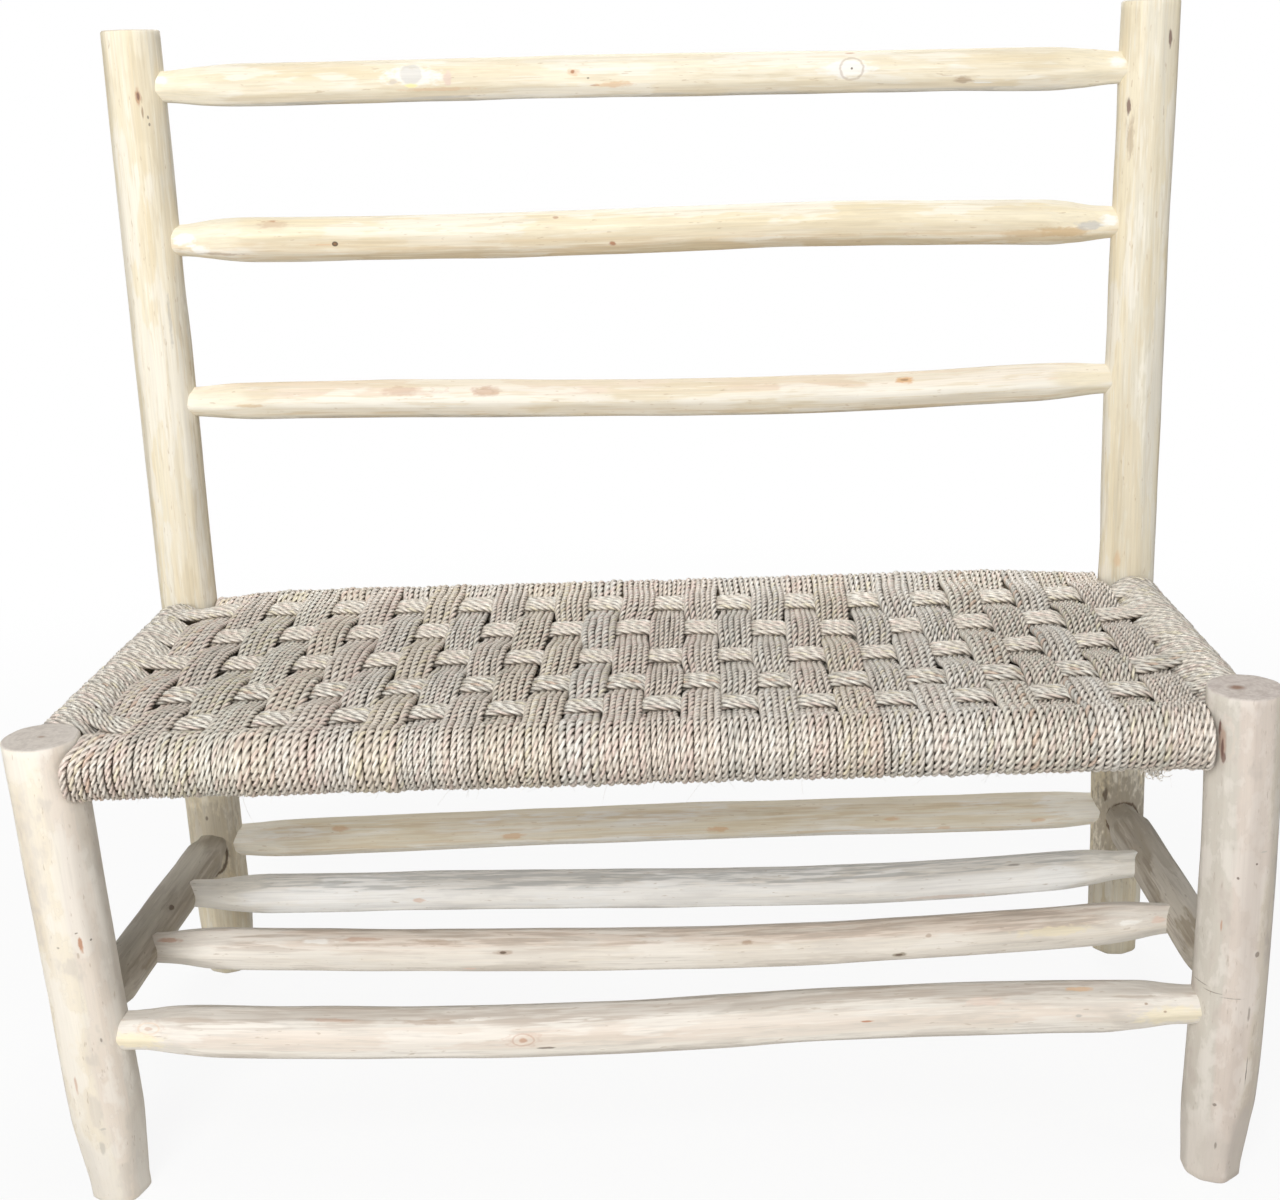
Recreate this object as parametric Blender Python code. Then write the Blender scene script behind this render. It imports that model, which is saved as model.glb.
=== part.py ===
"""A rustic woven bench: peeled poles with round tenons, and a seat of woven rope bands. Metres, +Z up."""

import math
from collections import namedtuple

import bmesh
import bpy
from mathutils import Matrix, Vector

# The frame: posts stand on z = 0, the front ones at -Y
POST_SPAN = 1.034  # between the axes of the left and right posts
POST_DEPTH = 0.416  # between the axes of the front and back posts
FRONT_POST_DIA = 0.065
BACK_POST_DIA = 0.062
BACK_POST_TOP_DIA = 0.057
FOOT_DIA = 0.051
FOOT_TAPER = 0.115  # height over which a foot is whittled
BACK_LEAN = 0.026  # how far the back posts' tops lie behind their feet
LEFT_POST_STAND = 0.026  # front post above the seat rail's axis
RIGHT_POST_STAND = 0.040
BACK_POST_STAND = 0.060  # back post above the top rail's axis

# Heights of the poles' axes, each measured from the one below it
SEAT_RAIL_HEIGHT = 0.430
LOWER_RAIL_RISE = 0.238
MIDDLE_RAIL_RISE = 0.166
TOP_RAIL_RISE = 0.154
FRONT_STRETCHER_HEIGHT = 0.169
BACK_STRETCHER_HEIGHT = 0.166
SIDE_STRETCHER_HEIGHT = 0.176
FRONT_RUNG_SETBACK = 0.136  # from the front posts' axes, along the side stretchers
BACK_RUNG_SETBACK = 0.263

# Diameters of the poles and of their whittled ends
TOP_RAIL_DIA = 0.043
MIDDLE_RAIL_DIA = 0.047
LOWER_RAIL_DIA = 0.041
BACK_RAIL_END_DIA = 0.031
SEAT_RAIL_DIA = 0.044
SEAT_RAIL_END_DIA = 0.030
FRONT_STRETCHER_DIA = 0.048
BACK_STRETCHER_DIA = 0.043
STRETCHER_END_DIA = 0.034
SIDE_STRETCHER_DIA = 0.046
RUNG_DIA = 0.042
RUNG_END_DIA = 0.028
LONG_WHITTLE = 0.075  # length over which a long pole narrows to its end
SHORT_WHITTLE = 0.035  # the same on the seat frame and the side stretchers

# Joints
CLEARANCE = 0.0003
MORTISE_WALL = 0.0025  # wood left between two mortises that meet at a corner
BACK_RAIL_TENON = 0.024  # depth in the post
RUNG_TENON = 0.016  # depth in the side stretcher

# The woven seat
BAND_COUNT = 28
ROW_COUNT = 5
ROPE_THICKNESS = 0.0058
ROW_GAP = 0.026  # between two weft rows in the weave
ROLL_GAP = 0.010  # between the rope round the front or back rail and the nearest row
FAN_GAP = 0.003  # between two rows where they spread over a side rail
BAND_GAP = 0.0007  # between two warp bands on the front and back rails
BAND_WEAVE_GAP = 0.005  # between two warp bands where the rows draw them in
POST_GAP = 0.0005  # between the rope and the posts at the seat's corners
SEAT_SAG = 0.005
ROW_WAVE = 0.0015  # how far a weft row rises and falls from band to band

POLE_SIDES = 12
POST_SIDES = 16
WRAP_STEPS = 5  # straight steps of a rope band round half a rail

# Each pole's own crookedness: tilt is the right (or back) end's height over the other's, and bends are the
# heights of its axis at a quarter, half and three quarters of its length, over a straight line
Shape = namedtuple("Shape", "tilt bends")
STRAIGHT = (0.0, 0.0, 0.0)
CROOKED = {
    "top_back_rail": Shape(-0.009, (0.001, 0.002, 0.001)),
    "middle_back_rail": Shape(-0.008, (-0.002, 0.001, 0.005)),
    "lower_back_rail": Shape(-0.001, (-0.002, -0.008, -0.008)),
    "front_seat_rail": Shape(0.007, STRAIGHT),
    "back_seat_rail": Shape(0.005, STRAIGHT),
    "front_stretcher": Shape(0.005, (-0.010, -0.008, 0.002)),
    "back_stretcher": Shape(0.016, (0.002, 0.003, 0.001)),
    "left_stretcher": Shape(-0.022, STRAIGHT),
    "right_stretcher": Shape(-0.016, STRAIGHT),
    "front_shelf_rung": Shape(0.0, (-0.011, -0.016, -0.015)),
    "back_shelf_rung": Shape(0.0, (-0.005, -0.009, -0.014)),
}
SIDE_STRETCHER_SKEW = 0.010  # the right side stretcher over the left one

# A post's sideways drift at its foot, at its top and half way up
Drift = namedtuple("Drift", "foot top bow")
POST_DRIFT = {
    "front_left_post": Drift(0.013, 0.0, -0.001),
    "front_right_post": Drift(-0.001, 0.0, 0.005),
    "back_left_post": Drift(0.001, 0.004, 0.0),
    "back_right_post": Drift(0.006, 0.004, -0.005),
}

CREAM_WOOD = (0.78, 0.68, 0.52, 1.0)
GREY_WOOD = (0.68, 0.62, 0.54, 1.0)
WARP_ROPE = (0.42, 0.36, 0.29, 1.0)
WEFT_ROPE = (0.66, 0.59, 0.47, 1.0)


def material(name, colour, roughness):
    """A plain matte finish of one colour."""
    finish = bpy.data.materials.new(name)
    finish.use_nodes = True
    shader = finish.node_tree.nodes["Principled BSDF"]
    shader.inputs["Base Color"].default_value = colour
    shader.inputs["Roughness"].default_value = roughness
    shader.inputs["Metallic"].default_value = 0.0
    return finish


def add_object(name, mesh, finish, origin, matrix=None):
    """Puts a mesh into the scene under the bench's empty, turned and placed by matrix."""
    piece = bpy.data.objects.new(name, mesh)
    bpy.context.scene.collection.objects.link(piece)
    piece.parent = origin
    if matrix is not None:
        piece.matrix_basis = matrix
    if finish is not None:
        mesh.materials.append(finish)
    return piece


def loft(name, rings, closed=False):
    """A mesh through rings of equally many points: open lofts get end caps, closed ones join up as a loop."""
    shape = bmesh.new()
    loops = [[shape.verts.new(point) for point in ring] for ring in rings]
    sides = len(rings[0])
    pairs = list(zip(loops, loops[1:]))
    if closed:
        pairs.append((loops[-1], loops[0]))
    for low, high in pairs:
        for i in range(sides):
            j = (i + 1) % sides
            shape.faces.new((low[i], low[j], high[j], high[i]))
    if not closed:
        shape.faces.new(reversed(loops[0]))
        shape.faces.new(loops[-1])
    bmesh.ops.recalc_face_normals(shape, faces=shape.faces)
    mesh = bpy.data.meshes.new(name)
    shape.to_mesh(mesh)
    shape.free()
    return mesh


def circle(centre, radius, sides):
    """Points round a level circle, counted from +X."""
    turn = 2 * math.pi / sides
    return [
        Vector((centre[0] + radius * math.cos(i * turn), centre[1] + radius * math.sin(i * turn), centre[2]))
        for i in range(sides)
    ]


def shade_round(mesh):
    """Smooth sides with crisp sawn ends."""
    mesh.shade_smooth()
    mesh.set_sharp_from_angle(angle=math.radians(40))


def ease(share):
    """Rises from 0 to 1 with a round shoulder at 1, as a whittled end does."""
    return math.sin(0.5 * math.pi * min(max(share, 0.0), 1.0))


class Post:
    """An upright pole: its axis drifts sideways with height, and level rings keep foot and top flat."""

    def __init__(self, name, side, y, height, low_dia, top_dia, lean):
        self.name = name
        self.side = side
        self.y = y
        self.height = height
        self.low_dia = low_dia
        self.top_dia = top_dia
        self.lean = lean

    def axis(self, z):
        share = z / self.height
        drift = POST_DRIFT[self.name]
        x = self.side * POST_SPAN / 2 + drift.foot * (1 - share) + drift.top * share
        x += drift.bow * math.sin(math.pi * share)
        rise = max(z - SEAT_RAIL_HEIGHT, 0.0) / (self.height - SEAT_RAIL_HEIGHT)
        return Vector((x, self.y + self.lean * rise, z))

    def radius(self, z):
        above_seat = max(z - SEAT_RAIL_HEIGHT, 0.0) / (self.height - SEAT_RAIL_HEIGHT)
        pole = self.low_dia + (self.top_dia - self.low_dia) * above_seat
        return 0.5 * (FOOT_DIA + (pole - FOOT_DIA) * ease(z / FOOT_TAPER))

    def build(self, finish, origin):
        levels = [0.0, 0.3 * FOOT_TAPER, 0.65 * FOOT_TAPER, FOOT_TAPER]
        levels += [0.5 * (FOOT_TAPER + SEAT_RAIL_HEIGHT), SEAT_RAIL_HEIGHT]
        steps = 3 if self.lean else 1
        rise = (self.height - SEAT_RAIL_HEIGHT) / steps
        levels += [SEAT_RAIL_HEIGHT + rise * (i + 1) for i in range(steps)]
        foot = self.axis(0.0)
        rings = [circle(self.axis(z) - foot, self.radius(z), POST_SIDES) for z in levels]
        mesh = loft(self.name, rings)
        shade_round(mesh)
        self.object = add_object(self.name, mesh, finish, origin, Matrix.Translation(foot))


class Pole:
    """A pole between two carriers: a tenon in each, whittled ends, and a body that bends up and down.

    start and end are points on the carriers' axes. reach and depth hold, for the start and the end, the
    carrier's radius there and how deep the tenon goes into it.
    """

    def __init__(self, name, start, end, reach, depth, dia, end_dia, whittle):
        self.name = name
        self.start = start
        self.end = end
        self.reach = reach
        self.depth = depth
        self.dia = dia
        self.end_dia = end_dia
        self.whittle = whittle
        self.bends = CROOKED[name].bends if name in CROOKED else STRAIGHT
        self.length = (end - start).length

    def axis(self, distance):
        """The straight line between the carriers' axes."""
        return self.start.lerp(self.end, distance / self.length)

    def bend(self, distance):
        """Height over the straight line: smooth through the quarter points, level at both ends."""
        share = (distance - self.reach[0]) / (self.length - self.reach[0] - self.reach[1])
        share = min(max(share, 0.0), 1.0)
        first, second, third = self.bends
        heights = (first, 0.0, first, second, third, 0.0, third)
        slot = min(int(4 * share), 3)
        before, low, high, after = heights[slot : slot + 4]
        t = 4 * share - slot
        slope_low, slope_high = 0.5 * (high - before), 0.5 * (after - low)
        return (
            (2 * t**3 - 3 * t**2 + 1) * low
            + (t**3 - 2 * t**2 + t) * slope_low
            + (3 * t**2 - 2 * t**3) * high
            + (t**3 - t**2) * slope_high
        )

    def radius(self, distance):
        inside = min(distance - self.reach[0], self.length - self.reach[1] - distance)
        return 0.5 * (self.end_dia + (self.dia - self.end_dia) * ease(inside / self.whittle))

    def matrix(self):
        """Local Z along the pole, local X as near to up as that allows."""
        along = (self.end - self.start).normalized()
        across = Vector((0.0, 0.0, 1.0)).cross(along).normalized()
        turned = Matrix((along.cross(across), -across, along)).transposed()
        return Matrix.Translation(self.start) @ turned.to_4x4()

    def build(self, finish, origin):
        tip, far_tip = self.reach[0] - self.depth[0], self.length - self.reach[1] + self.depth[1]
        face, far_face = self.reach[0], self.length - self.reach[1]
        low, high = face + self.whittle, far_face - self.whittle
        places = [tip, face, face + 0.4 * self.whittle, low]
        places += [face + (far_face - face) * quarter / 4 for quarter in (1, 2, 3)]
        places += [high, far_face - 0.4 * self.whittle, far_face, far_tip]
        rings = [circle((self.bend(d), 0.0, d), self.radius(d), POLE_SIDES) for d in places]
        mesh = loft(self.name, rings)
        shade_round(mesh)
        self.object = add_object(self.name, mesh, finish, origin, self.matrix())

    def cut_mortises(self, carriers, origin):
        """Cuts the holes that this pole's two tenons fill out of the pieces that carry it."""
        radius = 0.5 * self.end_dia + CLEARANCE / math.cos(math.pi / POLE_SIDES)
        for at_end, carrier in enumerate(carriers):
            bottom = self.reach[at_end] - self.depth[at_end] - CLEARANCE
            mouth = self.reach[at_end] + 0.5 * self.whittle
            if at_end:
                bottom, mouth = self.length - mouth, self.length - bottom
            rings = [circle((0.0, 0.0, d), radius, POLE_SIDES) for d in (bottom, mouth)]
            name = f"mortise_{self.name}_{at_end + 1}"
            cutter = add_object(name, loft(name, rings), None, origin, self.matrix())
            cutter.hide_render = True
            cutter.display_type = "WIRE"
            cut = carrier.object.modifiers.new(name, "BOOLEAN")
            cut.operation = "DIFFERENCE"
            cut.solver = "EXACT"
            cut.object = cutter


def make_posts():
    """The four posts, by name."""
    top_rail = SEAT_RAIL_HEIGHT + LOWER_RAIL_RISE + MIDDLE_RAIL_RISE + TOP_RAIL_RISE
    back_height = top_rail + BACK_POST_STAND
    back_shape = (POST_DEPTH / 2, back_height, BACK_POST_DIA, BACK_POST_TOP_DIA, BACK_LEAN)
    posts = {}
    for side, label, stand in ((-1, "left", LEFT_POST_STAND), (1, "right", RIGHT_POST_STAND)):
        front_shape = (-POST_DEPTH / 2, SEAT_RAIL_HEIGHT + stand, FRONT_POST_DIA, FRONT_POST_DIA, 0.0)
        for name, shape in ((f"front_{label}_post", front_shape), (f"back_{label}_post", back_shape)):
            posts[name] = Post(name, side, *shape)
    return posts


def corner_depth(post, z):
    """Tenon depth at a corner: two tenons that enter a post side by side leave wood between them."""
    thickest = max(STRETCHER_END_DIA, SEAT_RAIL_END_DIA)
    return post.radius(z) - thickest / 2 - MORTISE_WALL


def tilted(name, height):
    """The heights of a pole's two ends, tilted about its middle."""
    tilt = CROOKED[name].tilt
    return height - tilt / 2, height + tilt / 2


def pole_between(name, ends, heights, dia, end_dia, whittle, depth=None):
    """A pole between two posts, its axis at the given height in each."""
    points = [post.axis(z) for post, z in zip(ends, heights)]
    reach = [post.radius(z) for post, z in zip(ends, heights)]
    depths = [depth or corner_depth(post, z) for post, z in zip(ends, heights)]
    return Pole(name, *points, reach, depths, dia, end_dia, whittle)


def make_back_rails(back):
    """The three rails of the ladder back, from the lowest up."""
    poles = []
    height = SEAT_RAIL_HEIGHT
    for name, rise, dia in (
        ("lower_back_rail", LOWER_RAIL_RISE, LOWER_RAIL_DIA),
        ("middle_back_rail", MIDDLE_RAIL_RISE, MIDDLE_RAIL_DIA),
        ("top_back_rail", TOP_RAIL_RISE, TOP_RAIL_DIA),
    ):
        height += rise
        heights = tilted(name, height)
        poles.append(pole_between(name, back, heights, dia, BACK_RAIL_END_DIA, LONG_WHITTLE, BACK_RAIL_TENON))
    return poles


def make_seat_rails(front, back):
    """The seat frame: the side rails take their heights from the ends of the front and back ones."""
    front_heights = tilted("front_seat_rail", SEAT_RAIL_HEIGHT)
    back_heights = tilted("back_seat_rail", SEAT_RAIL_HEIGHT)
    left_heights, right_heights = zip(front_heights, back_heights)
    frame = (
        ("front_seat_rail", front, front_heights),
        ("back_seat_rail", back, back_heights),
        ("left_seat_rail", (front[0], back[0]), left_heights),
        ("right_seat_rail", (front[1], back[1]), right_heights),
    )
    return [
        pole_between(name, ends, heights, SEAT_RAIL_DIA, SEAT_RAIL_END_DIA, SHORT_WHITTLE)
        for name, ends, heights in frame
    ]


def make_stretchers(front, back):
    """The low poles between the posts, front and back, left and right."""
    left_height = SIDE_STRETCHER_HEIGHT - SIDE_STRETCHER_SKEW / 2
    right_height = SIDE_STRETCHER_HEIGHT + SIDE_STRETCHER_SKEW / 2
    return [
        pole_between(name, ends, tilted(name, height), dia, STRETCHER_END_DIA, whittle)
        for name, ends, height, dia, whittle in (
            ("front_stretcher", front, FRONT_STRETCHER_HEIGHT, FRONT_STRETCHER_DIA, LONG_WHITTLE),
            ("back_stretcher", back, BACK_STRETCHER_HEIGHT, BACK_STRETCHER_DIA, LONG_WHITTLE),
            ("left_stretcher", (front[0], back[0]), left_height, SIDE_STRETCHER_DIA, SHORT_WHITTLE),
            ("right_stretcher", (front[1], back[1]), right_height, SIDE_STRETCHER_DIA, SHORT_WHITTLE),
        )
    ]


def make_shelf_rungs(left, right):
    """The two poles that the side stretchers carry."""
    rungs = []
    for name, setback in (("front_shelf_rung", FRONT_RUNG_SETBACK), ("back_shelf_rung", BACK_RUNG_SETBACK)):
        points = [side.axis(setback) for side in (left, right)]
        reach = [side.radius(setback) for side in (left, right)]
        depths = [RUNG_TENON, RUNG_TENON]
        rungs.append(Pole(name, *points, reach, depths, RUNG_DIA, RUNG_END_DIA, LONG_WHITTLE))
    return rungs


def ribbon(name, path, widths, sideways, centres, finish, origin):
    """A flat rope band: a rectangle of the rope's thickness carried round a closed path.

    path holds (distance, height) points in the upright plane that the band runs in, sideways is the axis (0
    for X, 1 for Y) that its width lies along, and centres is its middle along that axis at each point.
    """
    rings = []
    count = len(path)
    for i in range(count):
        back, here, ahead = (Vector(path[(i + step) % count]) for step in (-1, 0, 1))
        into, out = (here - back).normalized(), (ahead - here).normalized()
        along = (into + out).normalized()
        normal = Vector((-along.y, along.x)) * (0.5 * ROPE_THICKNESS / max(along.dot(out), 0.5))
        ring = []
        for thick, wide in ((1, -1), (1, 1), (-1, 1), (-1, -1)):
            flat = here + normal * thick
            across = centres[i] + 0.5 * wide * widths[i]
            ring.append((across, flat.x, flat.y) if sideways == 0 else (flat.x, across, flat.y))
        rings.append(ring)
    return add_object(name, loft(name, rings, closed=True), finish, origin)


def crossing(pole, index, value):
    """The point of a pole's axis, or of the line on past its ends, whose x (0) or y (1) has this value."""
    return pole.start.lerp(pole.end, (value - pole.start[index]) / (pole.end[index] - pole.start[index]))


class Seat:
    """Places of the woven bands, worked out from the seat rails and the posts at their corners."""

    def __init__(self, posts, front, back, left, right):
        self.front, self.back, self.left, self.right = front, back, left, right
        # The inside of a band's straight steps clears the rail that it goes round
        self.wrap_inside = (SEAT_RAIL_DIA / 2 + CLEARANCE) / math.cos(0.5 * math.pi / WRAP_STEPS)
        self.wrap_radius = self.wrap_inside + ROPE_THICKNESS / 2
        self.lift = ROPE_THICKNESS + CLEARANCE  # of a warp band over or under a weft row
        # The bands fill the space between the posts, clear of them from the rails' undersides to their crowns
        heights = [SEAT_RAIL_HEIGHT + side * self.wrap_radius for side in (-1, 0, 1)]
        corner = {
            name: [(post.axis(z), post.radius(z) + POST_GAP) for z in heights] for name, post in posts.items()
        }
        lefts = corner["front_left_post"] + corner["back_left_post"]
        rights = corner["front_right_post"] + corner["back_right_post"]
        fronts = corner["front_left_post"] + corner["front_right_post"]
        backs = corner["back_left_post"] + corner["back_right_post"]
        self.low_x = max(axis.x + radius for axis, radius in lefts)
        self.high_x = min(axis.x - radius for axis, radius in rights)
        self.low_y = max(axis.y + radius for axis, radius in fronts)
        self.high_y = min(axis.y - radius for axis, radius in backs)
        self.band_pitch = (self.high_x - self.low_x) / BAND_COUNT
        self.fan_pitch = (self.high_y - self.low_y) / ROW_COUNT
        # The rows fill the space between the rope on the front rail and the rope on the back rail
        roll = self.wrap_radius + ROPE_THICKNESS / 2 + ROLL_GAP
        self.first_edge = front.start.y + roll
        self.row_pitch = (back.start.y - roll - self.first_edge + ROW_GAP) / ROW_COUNT
        self.row_width = self.row_pitch - ROW_GAP

    def band_x(self, band):
        return self.low_x + (band + 0.5) * self.band_pitch

    def row_y(self, row):
        return self.first_edge + 0.5 * self.row_width + row * self.row_pitch

    def fan_y(self, row):
        """The middle of a row where it spreads over the side rails."""
        return self.low_y + (row + 0.5) * self.fan_pitch

    def rail_height(self, x, y):
        """Height of the seat rails' axes, spread over the seat."""
        front, back = crossing(self.front, 0, x), crossing(self.back, 0, x)
        return front.z + (back.z - front.z) * (y - front.y) / (back.y - front.y)

    def weave_height(self, x, y):
        """The middle of the weave: under the rails' crowns, and hollowed by use."""
        along = (x - self.low_x) / (self.high_x - self.low_x)
        deep = (y - self.low_y) / (self.high_y - self.low_y)
        hollow = math.sin(math.pi * along) * math.sin(math.pi * deep)
        return self.rail_height(x, y) + self.wrap_radius - self.lift - SEAT_SAG * hollow

    def wrap(self, centre, height, outward):
        """Points round the outside of a rail, from its crown down to its underside."""
        turns = [0.5 * math.pi - math.pi * i / WRAP_STEPS for i in range(WRAP_STEPS + 1)]
        return [
            (centre + outward * self.wrap_radius * math.cos(turn), height + self.wrap_radius * math.sin(turn))
            for turn in turns
        ]

    def warp_over(self, band, row):
        return (band + row) % 2 == 1


def make_warp_band(seat, band, finish, origin):
    """One band of rope turns: along the top over and under the rows, round both rails and back below."""
    x = seat.band_x(band)
    front_rail, back_rail = crossing(seat.front, 0, x), crossing(seat.back, 0, x)
    wide, drawn_in = seat.band_pitch - BAND_GAP, seat.band_pitch - BAND_WEAVE_GAP
    front = seat.wrap(front_rail.y, front_rail.z, -1)
    back = seat.wrap(back_rail.y, back_rail.z, 1)
    path, widths = front[::-1], [wide] * len(front)
    half_flat = 0.5 * seat.row_width + 0.5 * ROPE_THICKNESS
    for row in range(ROW_COUNT):
        y = seat.row_y(row)
        side = 1 if seat.warp_over(band, row) else -1
        height = seat.weave_height(x, y) + side * seat.lift
        path += [(y - half_flat, height), (y + half_flat, height)]
        widths += [drawn_in, drawn_in]
    path += back
    widths += [wide] * len(back)
    return ribbon(f"warp_band_{band + 1:02d}", path, widths, 0, [x] * len(path), finish, origin)


def make_weft_row(seat, row, finish, origin):
    """One row of strands: over one band and under the next, spread over the side rails and back inside."""
    y, fan_y = seat.row_y(row), seat.fan_y(row)
    left_rail, right_rail = crossing(seat.left, 1, fan_y), crossing(seat.right, 1, fan_y)
    left = seat.wrap(left_rail.x, left_rail.z, -1)
    right = seat.wrap(right_rail.x, right_rail.z, 1)
    weave = []
    half_flat = 0.25 * seat.band_pitch
    for band in range(BAND_COUNT):
        x = seat.band_x(band)
        side = -1 if seat.warp_over(band, row) else 1
        height = seat.weave_height(x, y) + side * ROW_WAVE
        weave += [(x - half_flat, height), (x + half_flat, height)]
    inside = seat.wrap_inside - CLEARANCE - 0.5 * ROPE_THICKNESS
    below = [(x, seat.rail_height(x, y) - inside) for x in (seat.high_x, seat.low_x)]
    runs = ((left[::-1], True), (weave, False), (right, True), (below, False))
    path = [point for run, _ in runs for point in run]
    fanned = [fan for run, fan in runs for _ in run]
    widths = [seat.fan_pitch - FAN_GAP if fan else seat.row_width for fan in fanned]
    centres = [fan_y if fan else y for fan in fanned]
    return ribbon(f"weft_row_{row + 1}", path, widths, 1, centres, finish, origin)


def main():
    for leftover in list(bpy.data.objects):
        bpy.data.objects.remove(leftover)
    # The bench's box is centred on the origin, front to back
    reach_front = -POST_DEPTH / 2 - FRONT_POST_DIA / 2
    reach_back = POST_DEPTH / 2 + BACK_LEAN + BACK_POST_TOP_DIA / 2
    origin = bpy.data.objects.new("bench_origin", None)
    bpy.context.scene.collection.objects.link(origin)
    origin.location.y = -0.5 * (reach_front + reach_back)

    cream = material("peeled_pole_cream", CREAM_WOOD, 0.62)
    grey = material("peeled_pole_grey", GREY_WOOD, 0.68)
    warp = material("rope_taupe", WARP_ROPE, 0.85)
    weft = material("rope_cream", WEFT_ROPE, 0.85)

    posts = make_posts()
    front = posts["front_left_post"], posts["front_right_post"]
    back = posts["back_left_post"], posts["back_right_post"]
    back_rails = make_back_rails(back)
    seat_rails = make_seat_rails(front, back)
    stretchers = make_stretchers(front, back)
    side_stretchers = stretchers[2:]
    rungs = make_shelf_rungs(*side_stretchers)
    for carrier in front + tuple(stretchers) + tuple(rungs):
        carrier.build(grey, origin)
    for carrier in back + tuple(back_rails) + tuple(seat_rails):
        carrier.build(cream, origin)
    for pole in back_rails:
        pole.cut_mortises(back, origin)
    for front_pole, back_pole, left_pole, right_pole in (seat_rails, stretchers):
        front_pole.cut_mortises(front, origin)
        back_pole.cut_mortises(back, origin)
        left_pole.cut_mortises((front[0], back[0]), origin)
        right_pole.cut_mortises((front[1], back[1]), origin)
    for rung in rungs:
        rung.cut_mortises(side_stretchers, origin)

    seat = Seat(posts, *seat_rails)
    for band in range(BAND_COUNT):
        make_warp_band(seat, band, warp, origin)
    for row in range(ROW_COUNT):
        make_weft_row(seat, row, weft, origin)


main()
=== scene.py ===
"""Looks of the woven bench: hewn poles, the rope seat, their finishes, the light and the camera.

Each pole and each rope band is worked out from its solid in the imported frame. Sizes are in metres, +Z is up.
"""

import math
from typing import NamedTuple

import bpy
import numpy as np
from mathutils import Matrix, Vector


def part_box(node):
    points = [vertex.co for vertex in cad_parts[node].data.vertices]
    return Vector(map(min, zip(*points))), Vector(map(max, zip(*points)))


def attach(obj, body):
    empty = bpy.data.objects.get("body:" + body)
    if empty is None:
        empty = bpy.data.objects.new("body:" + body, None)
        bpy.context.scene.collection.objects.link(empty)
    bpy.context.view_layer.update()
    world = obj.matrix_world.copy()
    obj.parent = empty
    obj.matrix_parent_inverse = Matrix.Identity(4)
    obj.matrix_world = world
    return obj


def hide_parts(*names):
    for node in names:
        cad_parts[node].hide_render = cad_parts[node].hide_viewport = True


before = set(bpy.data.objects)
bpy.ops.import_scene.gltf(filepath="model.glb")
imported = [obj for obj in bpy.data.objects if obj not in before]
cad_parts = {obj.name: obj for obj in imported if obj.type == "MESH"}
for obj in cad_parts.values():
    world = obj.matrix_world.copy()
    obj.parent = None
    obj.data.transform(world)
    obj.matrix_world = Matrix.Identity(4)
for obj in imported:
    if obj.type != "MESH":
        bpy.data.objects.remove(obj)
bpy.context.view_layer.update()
MM = 0.001
FULL_TURN = 2.0 * math.pi
X, Y, Z = 0, 1, 2
FRONT, LEFT, RIGHT = (0.0, -1.0, 0.0), (-1.0, 0.0, 0.0), (1.0, 0.0, 0.0)

# Picture and camera
IMAGE_WIDTH, IMAGE_HEIGHT = 1280, 1200
FOCAL_PIXELS = 1642.9
SIGHT_PIXEL = (693.9, 581.5)  # where the line of sight meets the picture
CAMERA_PLACE = (0.0713, -1.5335, 0.9760)
CAMERA_YAW = -0.0157  # radians, to the right
CAMERA_PITCH = 0.2916  # radians, downwards
CAMERA_ROLL = 0.0291
SENSOR = 36.0

# Poles. Each drift is a size and the wavelength over which it comes and goes.
POLE_SIDES = 56
RING_STEP = 0.0065
CUT_STEP = 0.010  # between the planes that read a pole from its solid
CUT_MARGIN = 0.001  # from the pole's ends to the nearest of them
FIT_ROUNDS = 4
MORTISE_SHARE = 0.94  # points of a cut nearer the axis than this share of its radius are a mortise's walls
RIM_PERCENTS = (90, 97)  # percentiles of a cut's points that stand for its rim, in each round and at last
LINE_DEGREE = 5
BODY_DRIFT = (0.008, 0.30)  # of the radius, as a share of it
FACET_SHARPNESS = 44.0
FACET_SWELL = 1.018  # makes up for what the facets take off
FACET_SPREAD = 0.5  # how unevenly the facets lie round a pole, as a share of their spacing
FACET_DEPTH = 0.75  # mean depth of a facet, as a share of the pole's own depth of cut
DEPTH_DRIFT = (0.55, 0.38)  # of that share
TOOL_DRIFT = (0.0016, 0.06)  # of the depth, by single strokes
FACET_DRIFT = (0.10, 0.55)  # of a facet's direction, in radians
END_CUTS = 8  # whittled facets round a pole's end
END_SPREAD = 0.7
END_SHIFT = 0.022  # how far apart along the pole they may start
END_ONSET = 9.0  # how soon they set in where the pole tapers
END_DEPTH = (0.985, 0.02)  # their distance as a share of the taper, and how much less it may be
END_CLEAR = 0.08  # how far they stay outside a pole that doesn't taper, as a share of its radius
CORNER_LEVEL = 1.045  # what the corners between them are worn to, as a share of the taper
RIM_BEVEL = 0.0016  # rounding of a sawn end's rim
CAP_SHARES = (0.955, 0.93, 0.75, 0.55, 0.36, 0.18)  # rings of an end's flat face, as shares of its radius
SHARP_EDGE = math.radians(55)
RAISED = {"front_right_post": 0.006}  # how far a sawn top stands over the solid's

# Rope
BAND_COUNT = 28
ROW_COUNT = 5
BAND_STRANDS = (5, 6, 6, 6, 7)  # numbers of rope turns in a warp band, each as often as it comes
END_STRANDS = 7  # and in the first and last ones
END_THICK = 0.97  # thickness of those
STRAND_PITCH = 0.0060  # of rope turns of the usual thickness
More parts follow.
